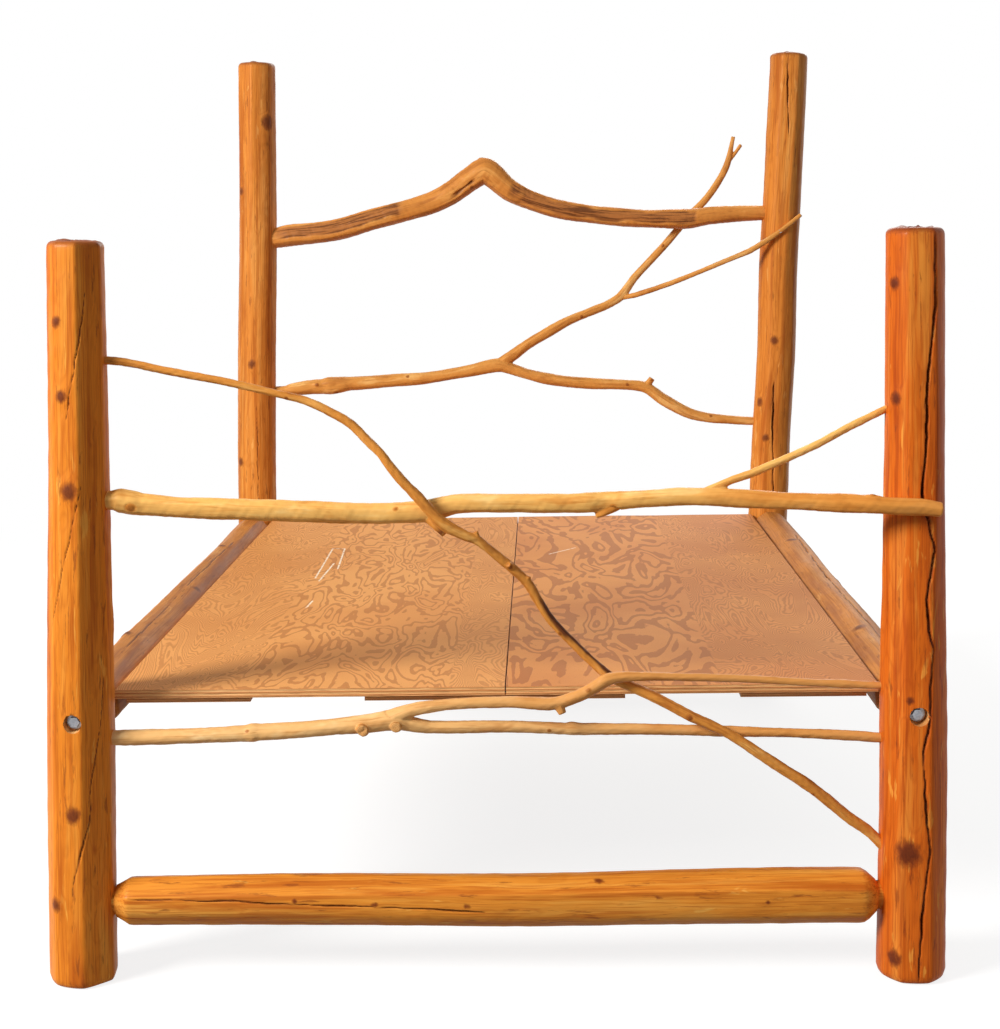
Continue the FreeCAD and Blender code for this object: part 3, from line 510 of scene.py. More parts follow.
def log_wood(name, pale, body, deep, dark, rim, flame=0.5, coat=0.12, fine=1.0):
    """Peeled and varnished log: stretched grain, pale flames, latewood lines, knots and cracks."""
    paint = Finish(name)
    grain = paint.field("grain").outputs["Vector"]
    wander = paint.noise(paint.scaled(grain, 9, 9, 2.2), 1.0, 2)
    shifted = paint.node("ShaderNodeVectorMath", grain, paint.node(
        "ShaderNodeCombineXYZ", paint.math("MULTIPLY", wander, 0.022), paint.math("MULTIPLY", wander, 0.016),
        0.0).outputs[0], operation="ADD").outputs[0]
    broad = paint.noise(paint.scaled(shifted, 16, 16, 1.5), 1.0, 3, 0.55, 0.4)
    streak = paint.noise(paint.scaled(shifted, 60*fine, 60*fine, 2.2), 1.0, 3, 0.6)
    fibre = paint.noise(paint.scaled(shifted, 330*fine, 330*fine, 6.0), 1.0, 2, 0.6)
    from_pith = paint.math("MULTIPLY_ADD", wander, 0.0065, paint.number("pith"))
    latewood = paint.math("PINGPONG", paint.math("MULTIPLY", from_pith, 560.0), 0.5)
    latewood = paint.between(latewood, 0.30, 0.50)

    fleck = paint.noise(paint.scaled(shifted, 95, 95, 13), 1.0, 4, 0.65)
    blaze = paint.noise(paint.scaled(shifted, 44, 44, 8), 1.0, 3, 0.6, 0.5)

    colour = paint.mix(paint.math("MULTIPLY", paint.between(broad, 0.52, 0.72), 0.55), body, pale)
    colour = paint.mix(paint.math("MULTIPLY", paint.between(blaze, 0.68 - 0.1*flame, 0.73 - 0.1*flame), 0.8),
                       colour, pale)
    colour = paint.mix(paint.math("MULTIPLY", paint.between(broad, 0.47, 0.32), 0.70), colour, deep)
    colour = paint.mix(paint.math("MULTIPLY", paint.between(streak, 0.50, 0.66), 0.62), colour, deep)
    colour = paint.mix(paint.math("MULTIPLY", paint.between(streak, 0.46, 0.30), 0.35), colour, pale)
    colour = paint.mix(paint.math("MULTIPLY", latewood, 0.22), colour, deep)
    colour = paint.mix(paint.math("MULTIPLY", paint.between(fibre, 0.48, 0.68), 0.55), colour, deep)
    colour = paint.mix(paint.math("MULTIPLY", paint.between(fleck, 0.58, 0.70), 0.65), colour, rim)
    colour = knot_colour(paint, colour, grain, dark, rim, 0.9)
    colour = end_grain(paint, colour, rim, deep)
    colour = paint.mix(paint.math("MULTIPLY", paint.number("rim"), 0.8), colour, rim)
    colour = paint.mix(paint.number("crack"), colour, dark)

    scrape = paint.noise(paint.scaled(grain, 50, 50, 9), 1.0, 3)
    roughness = paint.math("MULTIPLY_ADD", paint.noise(paint.scaled(grain, 25, 25, 6), 1.0, 3), 0.25, 0.40)
    height = paint.math("ADD", paint.math("MULTIPLY", fibre, 0.35), paint.math("MULTIPLY", scrape, 0.65))
    normal = paint.bump(height, 0.0011, 0.55)
    return paint.finish(colour, roughness, normal, coat=coat, coat_roughness=0.2, specular=0.1)


def branch_wood(name, pale, body, deep, dark, channel, weathered=0.0, ripe=None):
    """Peeled branch: fine fibres, dark streaks and channels, small knots; ripe is
    (distance from, distance to, colour) where the wood grows darker along its length."""
    paint = Finish(name)
    grain = paint.field("grain").outputs["Vector"]
    broad = paint.noise(paint.scaled(grain, 28, 28, 7), 1.0, 3, 0.6, 0.5)
    streak = paint.noise(paint.scaled(grain, 120, 120, 7), 1.0, 3, 0.6, 0.3)
    fibre = paint.noise(paint.scaled(grain, 520, 520, 14), 1.0, 2, 0.6)
    patch = paint.noise(paint.scaled(grain, 12, 12, 11), 1.0, 3, 0.6)

    colour = paint.mix(paint.between(broad, 0.50, 0.70), body, pale)
    if ripe:
        distance = paint.node("ShaderNodeSeparateXYZ", grain).outputs[2]
        aged = paint.between(paint.math("MULTIPLY_ADD", patch, 0.35, distance), ripe[0] + 0.175, ripe[1] + 0.175)
        colour = paint.mix(paint.math("MULTIPLY", aged, 0.85), colour, ripe[2])
    colour = paint.mix(paint.math("MULTIPLY", paint.between(broad, 0.46, 0.32), 0.55), colour, deep)
    colour = paint.mix(paint.math("MULTIPLY", paint.between(streak, 0.52, 0.70), 0.55), colour, deep)
    colour = paint.mix(paint.math("MULTIPLY", paint.between(patch, 0.60, 0.72), 0.45 + 0.3*weathered), colour, deep)
    colour = paint.mix(paint.math("MULTIPLY", paint.between(fibre, 0.50, 0.76), 0.22), colour, deep)
    rough_bark = paint.mix(paint.between(streak, 0.42, 0.60), channel, dark)
    colour = paint.mix(paint.number("channel"), colour, rough_bark)
    colour = knot_colour(paint, colour, grain, dark, deep, 0.7)
    colour = end_grain(paint, colour, deep, body)

    roughness = paint.math("MULTIPLY_ADD", patch, 0.25, 0.34)
    ripple = paint.noise(paint.scaled(grain, 60, 60, 35), 1.0, 3)
    sunk = paint.math("MULTIPLY", paint.number("channel"), paint.math("MULTIPLY", streak, 2.0))
    height = paint.math("ADD", paint.math("MULTIPLY_ADD", fibre, 0.4, sunk), paint.math("MULTIPLY", ripple, 0.6))
    normal = paint.bump(height, 0.0009, 0.5)
    return paint.finish(colour, roughness, normal, coat=0.08, coat_roughness=0.25, specular=0.1)


def sawn_wood(name, pale, body, deep, along, edge_plies=False):
    """Sawn softwood: grain along one axis of the object; edge_plies is not used."""
    paint = Finish(name)
    place = paint.node("ShaderNodeTexCoord").outputs["Object"]
    squeeze = {"x": (2.5, 40, 40), "y": (40, 2.5, 40)}[along]
    streak = paint.noise(paint.scaled(place, *squeeze), 1.0, 4, 0.6, 0.6)
    fibre = paint.noise(paint.scaled(place, *(4*part for part in squeeze)), 1.0, 2, 0.6)
    patch = paint.noise(place, 5.0, 3)
    colour = paint.mix(paint.between(streak, 0.40, 0.62), pale, body)
    colour = paint.mix(paint.math("MULTIPLY", paint.between(fibre, 0.45, 0.72), 0.45), colour, deep)
    colour = paint.mix(paint.math("MULTIPLY", paint.between(patch, 0.52, 0.70), 0.35), colour, deep)
    normal = paint.bump(fibre, 0.0008, 0.5)
    return paint.finish(colour, 0.62, normal)


def zinc_steel():
    paint = Finish("bright_zinc_steel")
    place = paint.node("ShaderNodeTexCoord").outputs["Object"]
    cloud = paint.noise(place, 260.0, 4)
    scuff = paint.noise(paint.scaled(place, 900, 900, 120), 1.0, 3)
    colour = paint.mix(cloud, shade(112, 116, 124), shade(190, 194, 200))
    roughness = paint.math("MULTIPLY_ADD", scuff, 0.3, 0.28)
    return paint.finish(colour, roughness, paint.bump(scuff, 0.0002, 0.4), metallic=0.9)


def scratch(paint, place, start, end, width):
    """How strongly a scratch from start to end marks the deck, from 0 to 1."""
    middle = ((start[0] + end[0])/2, (start[1] + end[1])/2)
    turn = math.atan2(end[1] - start[1], end[0] - start[0])
    half = math.hypot(end[0] - start[0], end[1] - start[1])/2
    moved = paint.moved(place, -middle[0], -middle[1], 0)
    turned = paint.node("ShaderNodeVectorRotate", moved, rotation_type="Z_AXIS")
    turned.inputs["Angle"].default_value = -turn
    apart = paint.node("ShaderNodeSeparateXYZ", turned.outputs[0])
    past = paint.math("MAXIMUM", paint.math("SUBTRACT", paint.math("ABSOLUTE", apart.outputs[0]), half), 0.0)
    away = paint.math("ADD", past, paint.math("ABSOLUTE", apart.outputs[1]))
    return paint.between(away, width, width*0.3)


def fir_plywood(name, pale, body, deep, edges, shift, figure, scratches=()):
    """Rotary-cut fir face: growth rings cut as a contour map, bold between two edges, fine outside;
    figure is (across, along, rings, share of each ring that is dark)."""
    paint = Finish(name)
    place = paint.node("ShaderNodeTexCoord").outputs["Object"]
    moved = paint.moved(place, shift, shift*0.7, 0)
    x = paint.node("ShaderNodeSeparateXYZ", place).outputs[0]
    bold = paint.math("MULTIPLY", paint.between(x, edges[0] - 0.002, edges[0] + 0.002),
                      paint.between(x, edges[1] + 0.002, edges[1] - 0.002))
    across, along, rings, dark_share = figure
    ragged = paint.math("SUBTRACT", paint.noise(paint.scaled(moved, 90, 45, 0), 1.0, 3, 0.6), 0.5)
    swell = paint.noise(paint.scaled(moved, across, along, 0), 1.0, 2.5, 0.5, 0.5)
    bold_rings = paint.math("FRACT", paint.math("MULTIPLY", paint.math(
        "MULTIPLY_ADD", ragged, 0.022, swell), rings))
    tight = paint.noise(paint.scaled(moved, 6.5, 1.9, 0), 1.0, 2.6, 0.5, 0.6)
    fine_rings = paint.math("FRACT", paint.math("MULTIPLY", paint.math(
        "MULTIPLY_ADD", ragged, 0.014, tight), 58.0))
    bold_band = paint.math("MULTIPLY", paint.between(bold_rings, 0.96 - dark_share, 1.0 - dark_share),
                           paint.between(bold_rings, 1.0, 0.95))
    fine_band = paint.math("MULTIPLY", paint.between(fine_rings, 0.40, 0.62), paint.between(fine_rings, 1.0, 0.85))
    fine_band = paint.math("MULTIPLY", fine_band, 0.8)
    bands = paint.math("MULTIPLY_ADD", bold, paint.math("SUBTRACT", bold_band, fine_band), fine_band)
    glow = paint.noise(moved, 3.0, 3)
    pores = paint.noise(paint.scaled(moved, 700, 70, 0), 1.0, 2, 0.6)
    colour = paint.mix(paint.between(glow, 0.35, 0.65), body, pale)
    colour = paint.mix(paint.math("MULTIPLY", bands, 0.58), colour, deep)
    colour = paint.mix(paint.math("MULTIPLY", paint.between(pores, 0.55, 0.80), 0.35), colour, deep)
    for start, end in scratches:
        faint = paint.math("MULTIPLY", scratch(paint, place, start, end, 0.0035), paint.between(
            paint.noise(place, 130.0, 2), 0.36, 0.50))
        colour = paint.mix(faint, colour, shade(248, 232, 206))
    height = paint.math("MULTIPLY_ADD", pores, 0.4, bands)
    return paint.finish(colour, 0.62, paint.bump(height, 0.0005, 0.4), specular=0.1)


def ply_edge(name, pale, body, deep, bottom, top, plies, across):
    """The edge of a plywood sheet: thin layers, every other one cut across its grain."""
    paint = Finish(name)
    place = paint.node("ShaderNodeTexCoord").outputs["Object"]
    z = paint.node("ShaderNodeSeparateXYZ", place).outputs[2]
    wave = paint.math("MULTIPLY", paint.math("SUBTRACT", paint.noise(place, 9.0, 2), 0.5), 0.0012)
    layer = paint.math("MULTIPLY", paint.math("SUBTRACT", paint.math("ADD", z, wave), bottom), plies/(top - bottom))
    odd = paint.math("PINGPONG", layer, 1.0)
    odd = paint.between(odd, 0.42, 0.58)
    glue = paint.between(paint.math("PINGPONG", layer, 0.5), 0.07, 0.02)
    squeeze = (18, 300, 300) if across else (300, 18, 300)
    fibre = paint.noise(paint.scaled(place, *squeeze), 1.0, 3, 0.6)
    speck = paint.noise(place, 420.0, 2)
    colour = paint.mix(odd, pale, body)
    colour = paint.mix(paint.math("MULTIPLY", paint.between(fibre, 0.48, 0.72), 0.55), colour, deep)
    colour = paint.mix(paint.math("MULTIPLY", paint.between(speck, 0.60, 0.75), paint.math("MULTIPLY", odd, 0.6)),
                       colour, deep)
    colour = paint.mix(paint.math("MULTIPLY", glue, 0.75), colour, deep)
    height = paint.math("MULTIPLY_ADD", fibre, 0.6, odd)
    return paint.finish(colour, 0.6, paint.bump(height, 0.0006, 0.5))


# ---------------------------------------------------------------- plywood panels

def plywood_panel(node, body, seed):
    """A plywood sheet with worn corners, slightly chipped ply edges and a surface not quite flat."""
    low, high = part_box(node)
    across = 90
    along = 180
    ply_count = 5
    x = np.linspace(low.x, high.x, across + 1)
    y = np.linspace(low.y, high.y, along + 1)
    grid_x, grid_y = np.meshgrid(x, y, indexing="ij")
    sag = Unevenness(seed, 1.3, 0, 6).at(grid_y, 0*grid_x)*Unevenness(seed + 1, 2.0, 0, 6).at(grid_x, 0*grid_x)

    edge = [(i, 0) for i in range(across)] + [(across, j) for j in range(along)]
    edge += [(i, along) for i in range(across, 0, -1)] + [(0, j) for j in range(along, 0, -1)]
    edge_i = np.array([i for i, j in edge])
    edge_j = np.array([j for i, j in edge])
    outward = np.stack([(edge_i == across).astype(float) - (edge_i == 0),
                        (edge_j == along).astype(float) - (edge_j == 0)], axis=1)
    rim = np.stack([x[edge_i], y[edge_j]], axis=1)
    travel = np.arange(len(edge))*0.02
    thickness = high.z - low.z

    def loop(level, inset, chip, salt):
        rough = chip*np.clip(Unevenness(seed + salt, 5, 0, 16).at(travel, 0*travel) - 0.4, 0, 2)
        place = rim - outward*(inset + rough)[:, None]
        return np.column_stack([place, np.full(len(edge), level)])

    top = np.column_stack([grid_x.ravel(), grid_y.ravel(), (high.z - 0.0003 + 0.0003*sag).ravel()])
    bottom = np.column_stack([grid_x.ravel(), grid_y.ravel(), np.full(grid_x.size, low.z)])
    index = np.arange(grid_x.size).reshape(across + 1, along + 1)
    for sheet_points in (top, bottom):
        ends = index[edge_i, edge_j]
        sheet_points[ends, :2] -= outward*0.0009
    loops = [loop(high.z - 0.0009, 0.0001, 0.0006, 5)]
    for ply in range(1, ply_count):
        level = high.z - thickness*ply/ply_count
        loops.append(loop(level + 0.0005, 0.0002*(ply % 2), 0.0005, 10 + ply))
        loops.append(loop(level - 0.0005, 0.0005*(ply % 2), 0.0004, 20 + ply))
    loops.append(loop(low.z + 0.0009, 0.0001, 0.0010, 30))

    quads = np.stack([index[:-1, :-1], index[1:, :-1], index[1:, 1:], index[:-1, 1:]], axis=-1).reshape(-1, 4)
    faces = quads.tolist() + (quads[:, ::-1] + grid_x.size).tolist()
    rings = [index[edge_i, edge_j]]
    start = 2*grid_x.size
    for points in loops:
        rings.append(np.arange(len(edge)) + start)
        start += len(edge)
    rings.append(index[edge_i, edge_j] + grid_x.size)
    face_count = len(faces)
    for upper, lower in zip(rings, rings[1:]):
        faces.extend(np.stack([upper, lower, np.roll(lower, -1), np.roll(upper, -1)], axis=-1).tolist())
    mesh = bpy.data.meshes.new(f"{node}_sheet")
    mesh.from_pydata(np.concatenate([top, bottom] + loops).tolist(), [], faces)
    side_faces = np.zeros(len(faces), np.int32)
    side_faces[face_count:] = 1
    return mesh, side_faces


# ---------------------------------------------------------------- materials

HONEY_POST = log_wood("left_foot_post_wood", shade(242, 168, 70), shade(226, 132, 38), shade(178, 84, 18),
                      shade(86, 38, 22), shade(134, 66, 26), flame=0.5)
RED_POST = log_wood("right_foot_post_wood", shade(240, 158, 64), shade(214, 104, 24), shade(164, 62, 10),
                    shade(78, 30, 14), shade(122, 52, 20), flame=0.6)
HEAD_POST = log_wood("head_post_wood", shade(240, 172, 90), shade(220, 136, 54), shade(172, 88, 26),
                     shade(96, 46, 24), shade(140, 76, 34), flame=0.45)
LOW_RAIL = log_wood("low_rail_wood", shade(244, 180, 84), shade(228, 144, 50), shade(182, 90, 22),
                    shade(96, 46, 16), shade(134, 64, 26), flame=0.5)
SIDE_RAIL = log_wood("side_rail_wood", shade(214, 154, 84), shade(196, 126, 56), shade(154, 88, 38),
                     shade(92, 50, 24), shade(130, 74, 36), flame=0.4, coat=0.0)
BARK = shade(122, 66, 30)
GOLD_BRANCH = branch_wood("pale_branch_wood", shade(252, 208, 132), shade(242, 184, 100), shade(208, 128, 50),
                          shade(104, 56, 24), BARK, ripe=(1.0, 1.5, shade(224, 142, 58)))
THIN_BRANCH = branch_wood("low_branch_wood", shade(246, 206, 146), shade(234, 182, 116), shade(190, 120, 56),
                          shade(104, 60, 28), BARK, ripe=(0.75, 1.3, shade(214, 144, 72)))
HEAD_BRANCH = branch_wood("head_branch_wood", shade(236, 182, 108), shade(216, 148, 72), shade(166, 96, 38),
                          shade(96, 52, 24), BARK)
WOVEN_BRANCH = branch_wood("woven_branch_wood", shade(236, 172, 90), shade(214, 140, 60), shade(160, 88, 32),
                           shade(84, 44, 20), shade(112, 60, 28))
PEAK_RAIL = branch_wood("peak_rail_wood", shade(232, 164, 86), shade(212, 138, 64), shade(160, 92, 38),
                        shade(112, 66, 34), shade(178, 112, 58), weathered=0.3)
STEEL = zinc_steel()
RAW_RECESS = sawn_wood("bored_raw_wood", shade(236, 188, 122), shade(212, 146, 80), shade(158, 92, 42), "y")
LUMBER_X = sawn_wood("slat_lumber", shade(232, 198, 146), shade(212, 170, 114), shade(170, 120, 70), "x")
LUMBER_Y = sawn_wood("ledger_lumber", shade(228, 192, 140), shade(206, 164, 110), shade(164, 116, 68), "y")


def paint_node(node, *materials):
    nodes[node].data.materials.clear()
    for material in materials:
        nodes[node].data.materials.append(material)


# ---------------------------------------------------------------- posts

BOLT_RECESS = (0.018, 0.025)
BEVEL = 13*MM
FOOT_BEVEL = 9*MM


def bored(piece, centre, outward, radius, depth, surface):
    """Bore a flat-bottomed recess into a piece."""
    around = 72
    angle = np.linspace(0, 2*math.pi, around, endpoint=False)
    seat = surface - depth
    rows = [(seat, radius*0.5), (seat, radius*0.985), (seat + 0.0006, radius), (surface + 0.03, radius)]
    vertices = np.concatenate([np.column_stack([size*np.cos(angle), size*np.sin(angle), np.full(around, level)])
                               for level, size in rows])
    mesh = bpy.data.meshes.new("recess_cutter")
    mesh.from_pydata(vertices.tolist(), [], tube_faces(len(rows), around, 0))
    mesh.materials.append(RAW_RECESS)
    turn = Vector((0, 0, 1)).rotation_difference(outward).to_matrix().to_4x4()
    mesh.transform(Matrix.Translation(centre) @ turn)
    cutter = bpy.data.objects.new("recess_cutter", mesh)
    bpy.context.scene.collection.objects.link(cutter)
    hole = piece.modifiers.new("recess", "BOOLEAN")
    hole.operation = "DIFFERENCE"
    hole.solver = "EXACT"
    hole.material_mode = "TRANSFER"
    hole.object = cutter
    bpy.context.view_layer.update()
    cut_mesh = bpy.data.meshes.new_from_object(piece.evaluated_get(bpy.context.evaluated_depsgraph_get()))
    piece.modifiers.remove(hole)
    old = piece.data
    piece.data = cut_mesh
    cut_mesh.name = piece.name
    bpy.data.meshes.remove(old)
    bpy.data.objects.remove(cutter)


def post(name, end, material, seed, base, rail, middle, top, **details):
    """A log post that stands on the floor, with its bed-bolt recess on the outer side."""
    foot, head = POSTS[name]
    length = (head - foot).length
    rail_level = SIDE_RAIL_Z
    profile = [(0.0, base - FOOT_BEVEL), (FOOT_BEVEL*0.45, base - FOOT_BEVEL*0.35), (FOOT_BEVEL*1.5, base),
               (rail_level, rail), ((rail_level + length)/2, middle)]
    profile += rounded_end(length, top, BEVEL, 1)
    piece = log_piece(f"{name}_log", foot, head, Vector((0, -1, 0)), profile, seed, **details)
    piece.data.materials.append(material)
    outward = Vector((0, -1 if end == "foot" else 1, 0))
    bored(piece, on_post(name, SIDE_RAIL_Z), outward, *BOLT_RECESS, rail)
    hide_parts(f"{name}_post")
    return piece


post("left_foot", "foot", HONEY_POST, 3, 0.067, 0.0645, 0.058, 0.054,
     facets=(8, 0.6),
     knots=[(1.315, -27, 0.008, 0.0015), (1.171, -17, 0.009, 0.0015), (0.988, -4, 0.013, 0.003),
            (0.351, 0, 0.012, 0.002), (0.169, -35, 0.010, 0.002), (0.72, 118, 0.012, 0.003),
            (1.24, 150, 0.011, 0.002), (0.40, 205, 0.013, 0.003), (1.02, 250, 0.010, 0.002)],
     cracks=[([(1.11, -10), (1.179, 2), (1.221, 8), (1.271, 18), (1.323, 24.6), (1.386, 35.6)], 0.0014, 0.005),
             ([(0.71, -45), (0.744, -36.5), (0.812, -22), (0.876, -8.5), (0.942, 8), (0.982, 16.5),
               (1.009, 17.7)], 0.0015, 0.005),
             ([(0.159, -5), (0.207, 0.3), (0.273, 11.4), (0.331, 27.8), (0.416, 34), (0.522, 51.5),
               (0.622, 60.8)], 0.0018, 0.006),
             ([(0.20, 170), (0.62, 178), (1.05, 190), (1.36, 186)], 0.0035, 0.012)])
post("right_foot", "foot", RED_POST, 8, 0.067, 0.0645, 0.058, 0.054,
     facets=(9, 0.6),
     knots=[(1.363, -57, 0.009, 0.0015), (1.144, -51, 0.009, 0.0015), (0.564, -16, 0.006, 0.001),
            (0.264, -18, 0.019, 0.003), (0.049, -41, 0.012, 0.002), (0.90, 130, 0.012, 0.003),
            (1.28, 190, 0.011, 0.002), (0.36, 160, 0.013, 0.003), (0.70, 240, 0.010, 0.002)],
     cracks=[([(0.0, 2), (0.139, 6), (0.189, 11.5), (0.268, 18.2), (0.322, 11.5), (0.399, 9.6), (0.468, 5),
               (0.516, 13.9), (0.555, 17.7), (0.666, 22.9), (0.701, 14.7), (0.762, 13.6), (0.854, 24.6),
               (0.963, 4), (1.072, 11.3), (1.167, 13.4), (1.231, 17.7), (1.323, 28.6), (1.462, 27.7)],
              0.0042, 0.014),
             ([(0.55, 212), (0.9, 205), (1.2, 209)], 0.0025, 0.008)])
post("left_head", "head", HEAD_POST, 14, 0.062, 0.0605, 0.059, 0.0565,
     facets=(10, 0.5),
     knots=[(1.83, 44, 0.016, 0.002), (1.615, -50, 0.009, 0.002), (1.071, -6, 0.010, 0.002),
            (0.756, -50, 0.010, 0.002), (1.34, 160, 0.012, 0.003), (0.85, 200, 0.011, 0.002),
            (0.30, 120, 0.012, 0.002), (1.66, 235, 0.010, 0.002)],
     cracks=[([(0.25, 8), (0.6, 12), (0.95, 9)], 0.0016, 0.005),
             ([(0.60, 188), (1.1, 180), (1.72, 186)], 0.003, 0.010)])
post("right_head", "head", HEAD_POST, 22, 0.062, 0.0605, 0.059, 0.0565,
     facets=(9, 0.65),
     knots=[(1.122, -14, 0.010, 0.002), (0.926, -53, 0.010, 0.002), (0.815, -23, 0.009, 0.0015),
            (1.42, 155, 0.012, 0.003), (0.60, 210, 0.011, 0.002), (1.76, 240, 0.010, 0.002),
            (0.28, 140, 0.012, 0.002)],
     cracks=[([(1.754, 4), (1.827, -3.6), (2.008, -11)], 0.0035, 0.010),
             ([(0.60, 7), (0.75, 2), (0.88, -6), (1.0, -9.5)], 0.004, 0.010),
             ([(0.70, 172), (1.3, 180), (1.6, 176)], 0.003, 0.010)])


# ---------------------------------------------------------------- rails

TENON_IN_POST = 30*MM
SHOULDER = 2*MM
END_BEVEL = 30*MM


def rail_profile(length, into, left, right, tenon):
    """(distance, radius) pairs of a rail that runs into a post at each end."""
    first = into + SHOULDER
    last = length - into - SHOULDER
    return [(0.0, tenon), (first, tenon), (first + 0.0015, tenon + 0.004), (first + END_BEVEL*0.55, left - 0.007),
            (first + END_BEVEL*0.9, left - 0.001), (first + END_BEVEL*1.2, left), (length/2, (left + right)/2),
            (last - END_BEVEL*1.2, right), (last - END_BEVEL*0.9, right - 0.001),
            (last - END_BEVEL*0.55, right - 0.007), (last - 0.0015, tenon + 0.004), (last, tenon),
            (length, tenon)]


def end_rail(name, end, node, seed, **details):
    height = (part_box(node)[0].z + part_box(node)[1].z)/2
    surface = 0.0666 if end == "foot" else 0.0616
    start = on_post(f"left_{end}", height) + Vector((surface - TENON_IN_POST, 0, 0))
    stop = on_post(f"right_{end}", height) - Vector((surface - TENON_IN_POST, 0, 0))
    start.z = height
    stop.z = height
    profile = rail_profile((stop - start).length, TENON_IN_POST, 0.046, 0.052, 0.027)
    piece = log_piece(name, start, stop, Vector((0, -1, 0)), profile, seed, around=160, step=0.008, **details)
    piece.data.materials.append(LOW_RAIL)
    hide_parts(node)
    return piece


def across_bed(share, end="foot"):
    """Distance along an end rail of a place given as a share of half the post span."""
    height = 0.157
    start = on_post(f"left_{end}", height).x + 0.0366
    return DECK_MIDDLE_X + share*HALF_SPAN - start


end_rail("low_foot_log", "foot", "low_foot_rail", 31, facets=(8, 0.6), sway=0.002,
         knots=[(across_bed(-0.485), -15, 0.004, 0.001), (across_bed(-0.293), -7, 0.004, 0.001),
                (across_bed(-0.07), -6, 0.0045, 0.001), (across_bed(0.246), -62, 0.006, 0.001),
                (across_bed(0.388), -20, 0.0035, 0.001), (across_bed(0.648), -6, 0.0035, 0.001),
                (across_bed(-0.7), 140, 0.010, 0.002), (across_bed(0.1), 190, 0.011, 0.003),
                (across_bed(0.6), 160, 0.009, 0.002)],
         cracks=[([(across_bed(-0.905), -22), (across_bed(-0.653), -16), (across_bed(-0.487), -7.5),
                   (across_bed(-0.166), 3), (across_bed(0.002), 9.3)], 0.0026, 0.008),
                 ([(across_bed(0.05), 176), (across_bed(0.55), 183)], 0.003, 0.009)])
end_rail("low_head_log", "head", "low_head_rail", 37, facets=(9, 0.6), sway=0.002,
         knots=[(across_bed(-0.55, "head"), 20, 0.010, 0.002), (across_bed(0.2, "head"), 150, 0.011, 0.003),
                (across_bed(0.62, "head"), -30, 0.009, 0.002), (across_bed(-0.15, "head"), 215, 0.009, 0.002)],
         cracks=[([(across_bed(-0.5, "head"), 185), (across_bed(0.3, "head"), 192)], 0.003, 0.009)])

for side, seed in (("left", 41), ("right", 47)):
    middle = DECK_MIDDLE_X + (HALF_SPAN if side == "right" else -HALF_SPAN)
    start = Vector((middle, FOOT_Y + 0.0645 - TENON_IN_POST, SIDE_RAIL_Z))
    stop = Vector((middle, HEAD_Y - 0.0605 + TENON_IN_POST, SIDE_RAIL_Z))
    profile = rail_profile((stop - start).length, TENON_IN_POST, 0.054, 0.054, 0.029)
    piece = log_piece(f"{side}_side_log", start, stop, Vector((0, 0, 1)), profile, seed, around=160, step=0.008,
                      facets=(8, 0.7), sway=0.002,
                      knots=[(0.42, -20, 0.012, 0.003), (0.95, 35, 0.010, 0.002), (1.5, -10, 0.012, 0.003),
                             (0.7, 100, 0.012, 0.003), (1.3, 250, 0.011, 0.003), (1.75, 170, 0.010, 0.002)],
                      cracks=[([(0.3, 12), (1.0, 6), (1.6, 14)], 0.0022, 0.006),
                              ([(0.5, 95), (1.4, 101)], 0.003, 0.009),
                              ([(0.7, 262), (1.6, 256)], 0.003, 0.009)])
    piece.data.materials.append(SIDE_RAIL)
    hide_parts(f"{side}_side_rail")


# ---------------------------------------------------------------- branches at the foot

def finish_branch(piece, node, material):
    piece.data.materials.append(material)
    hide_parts(node)


FRONT_LAP = -(0.0605 + 0.0165 + 0.0003)/MM
top_trunk = [into_post("left_foot", 962, 17)] + at(FOOT_Y, [
    (-0.905, 0, 961, 20),
    (-0.885, 0, 960, 24.5),
    (-0.86, 0, 957, 24),
    (-0.83, 0, 953, 21.5),
    (-0.71, 0, 945, 21.5),
    (-0.45, 2, 935, 21.5),
    (-0.30, 6, 929, 20.5),
    (-0.15, 8, 932, 22),
    (-0.08, 8, 945, 19.5),
    (0.05, 5, 946, 18.5),
    (0.18, 1, 945, 19),
    (0.23, 0, 946, 20.5),
    (0.28, 0, 949, 18.5),
    (0.34, FRONT_LAP*0.15, 953, 17.5),
    (0.46, FRONT_LAP*0.28, 959, 18),
    (0.57, FRONT_LAP*0.45, 957, 18),
    (0.72, FRONT_LAP*0.7, 952, 16.5),
    (0.86, FRONT_LAP*0.92, 948, 18),
    (0.93, FRONT_LAP, 944, 16.5),
    (1.00, FRONT_LAP, 941, 16.5),
    (1.045, FRONT_LAP*1.01, 936, 15),
])
thin_shoot = at(FOOT_Y, [
    (0.49, FRONT_LAP*0.35, 962, 9),
    (0.57, FRONT_LAP*0.32, 990, 8),
    (0.62, FRONT_LAP*0.28, 1003, 8),
    (0.76, FRONT_LAP*0.18, 1051, 7.5),
    (0.85, FRONT_LAP*0.09, 1089, 7.5),
]) + [into_post("right_foot", 1130, 7.5)]
bark_stub = at(FOOT_Y, [(-0.145, 6, 925, 17), (-0.105, -6, 892, 12)])
under_stub = at(FOOT_Y, [(0.30, -4, 944, 14), (0.262, -4, 925, 9), (0.25, -4, 919, 4)])
top_branch = branch_piece("footboard_top_limb", [top_trunk, thin_shoot, bark_stub, under_stub], 5,
                          knots=[(0, 0.045, 15, 0.008, 0.001), (0, 0.36, -30, 0.004, 0.001),
                                 (0, 0.62, 30, 0.005, 0.001), (0, 0.92, -85, 0.006, 0.004),
                                 (0, 0.55, 150, 0.007, 0.002)],
                          channels=[(2, 0.5, 1.4, 0, 200, 0.0004)])
finish_branch(top_branch, "footboard_top_branch", GOLD_BRANCH)

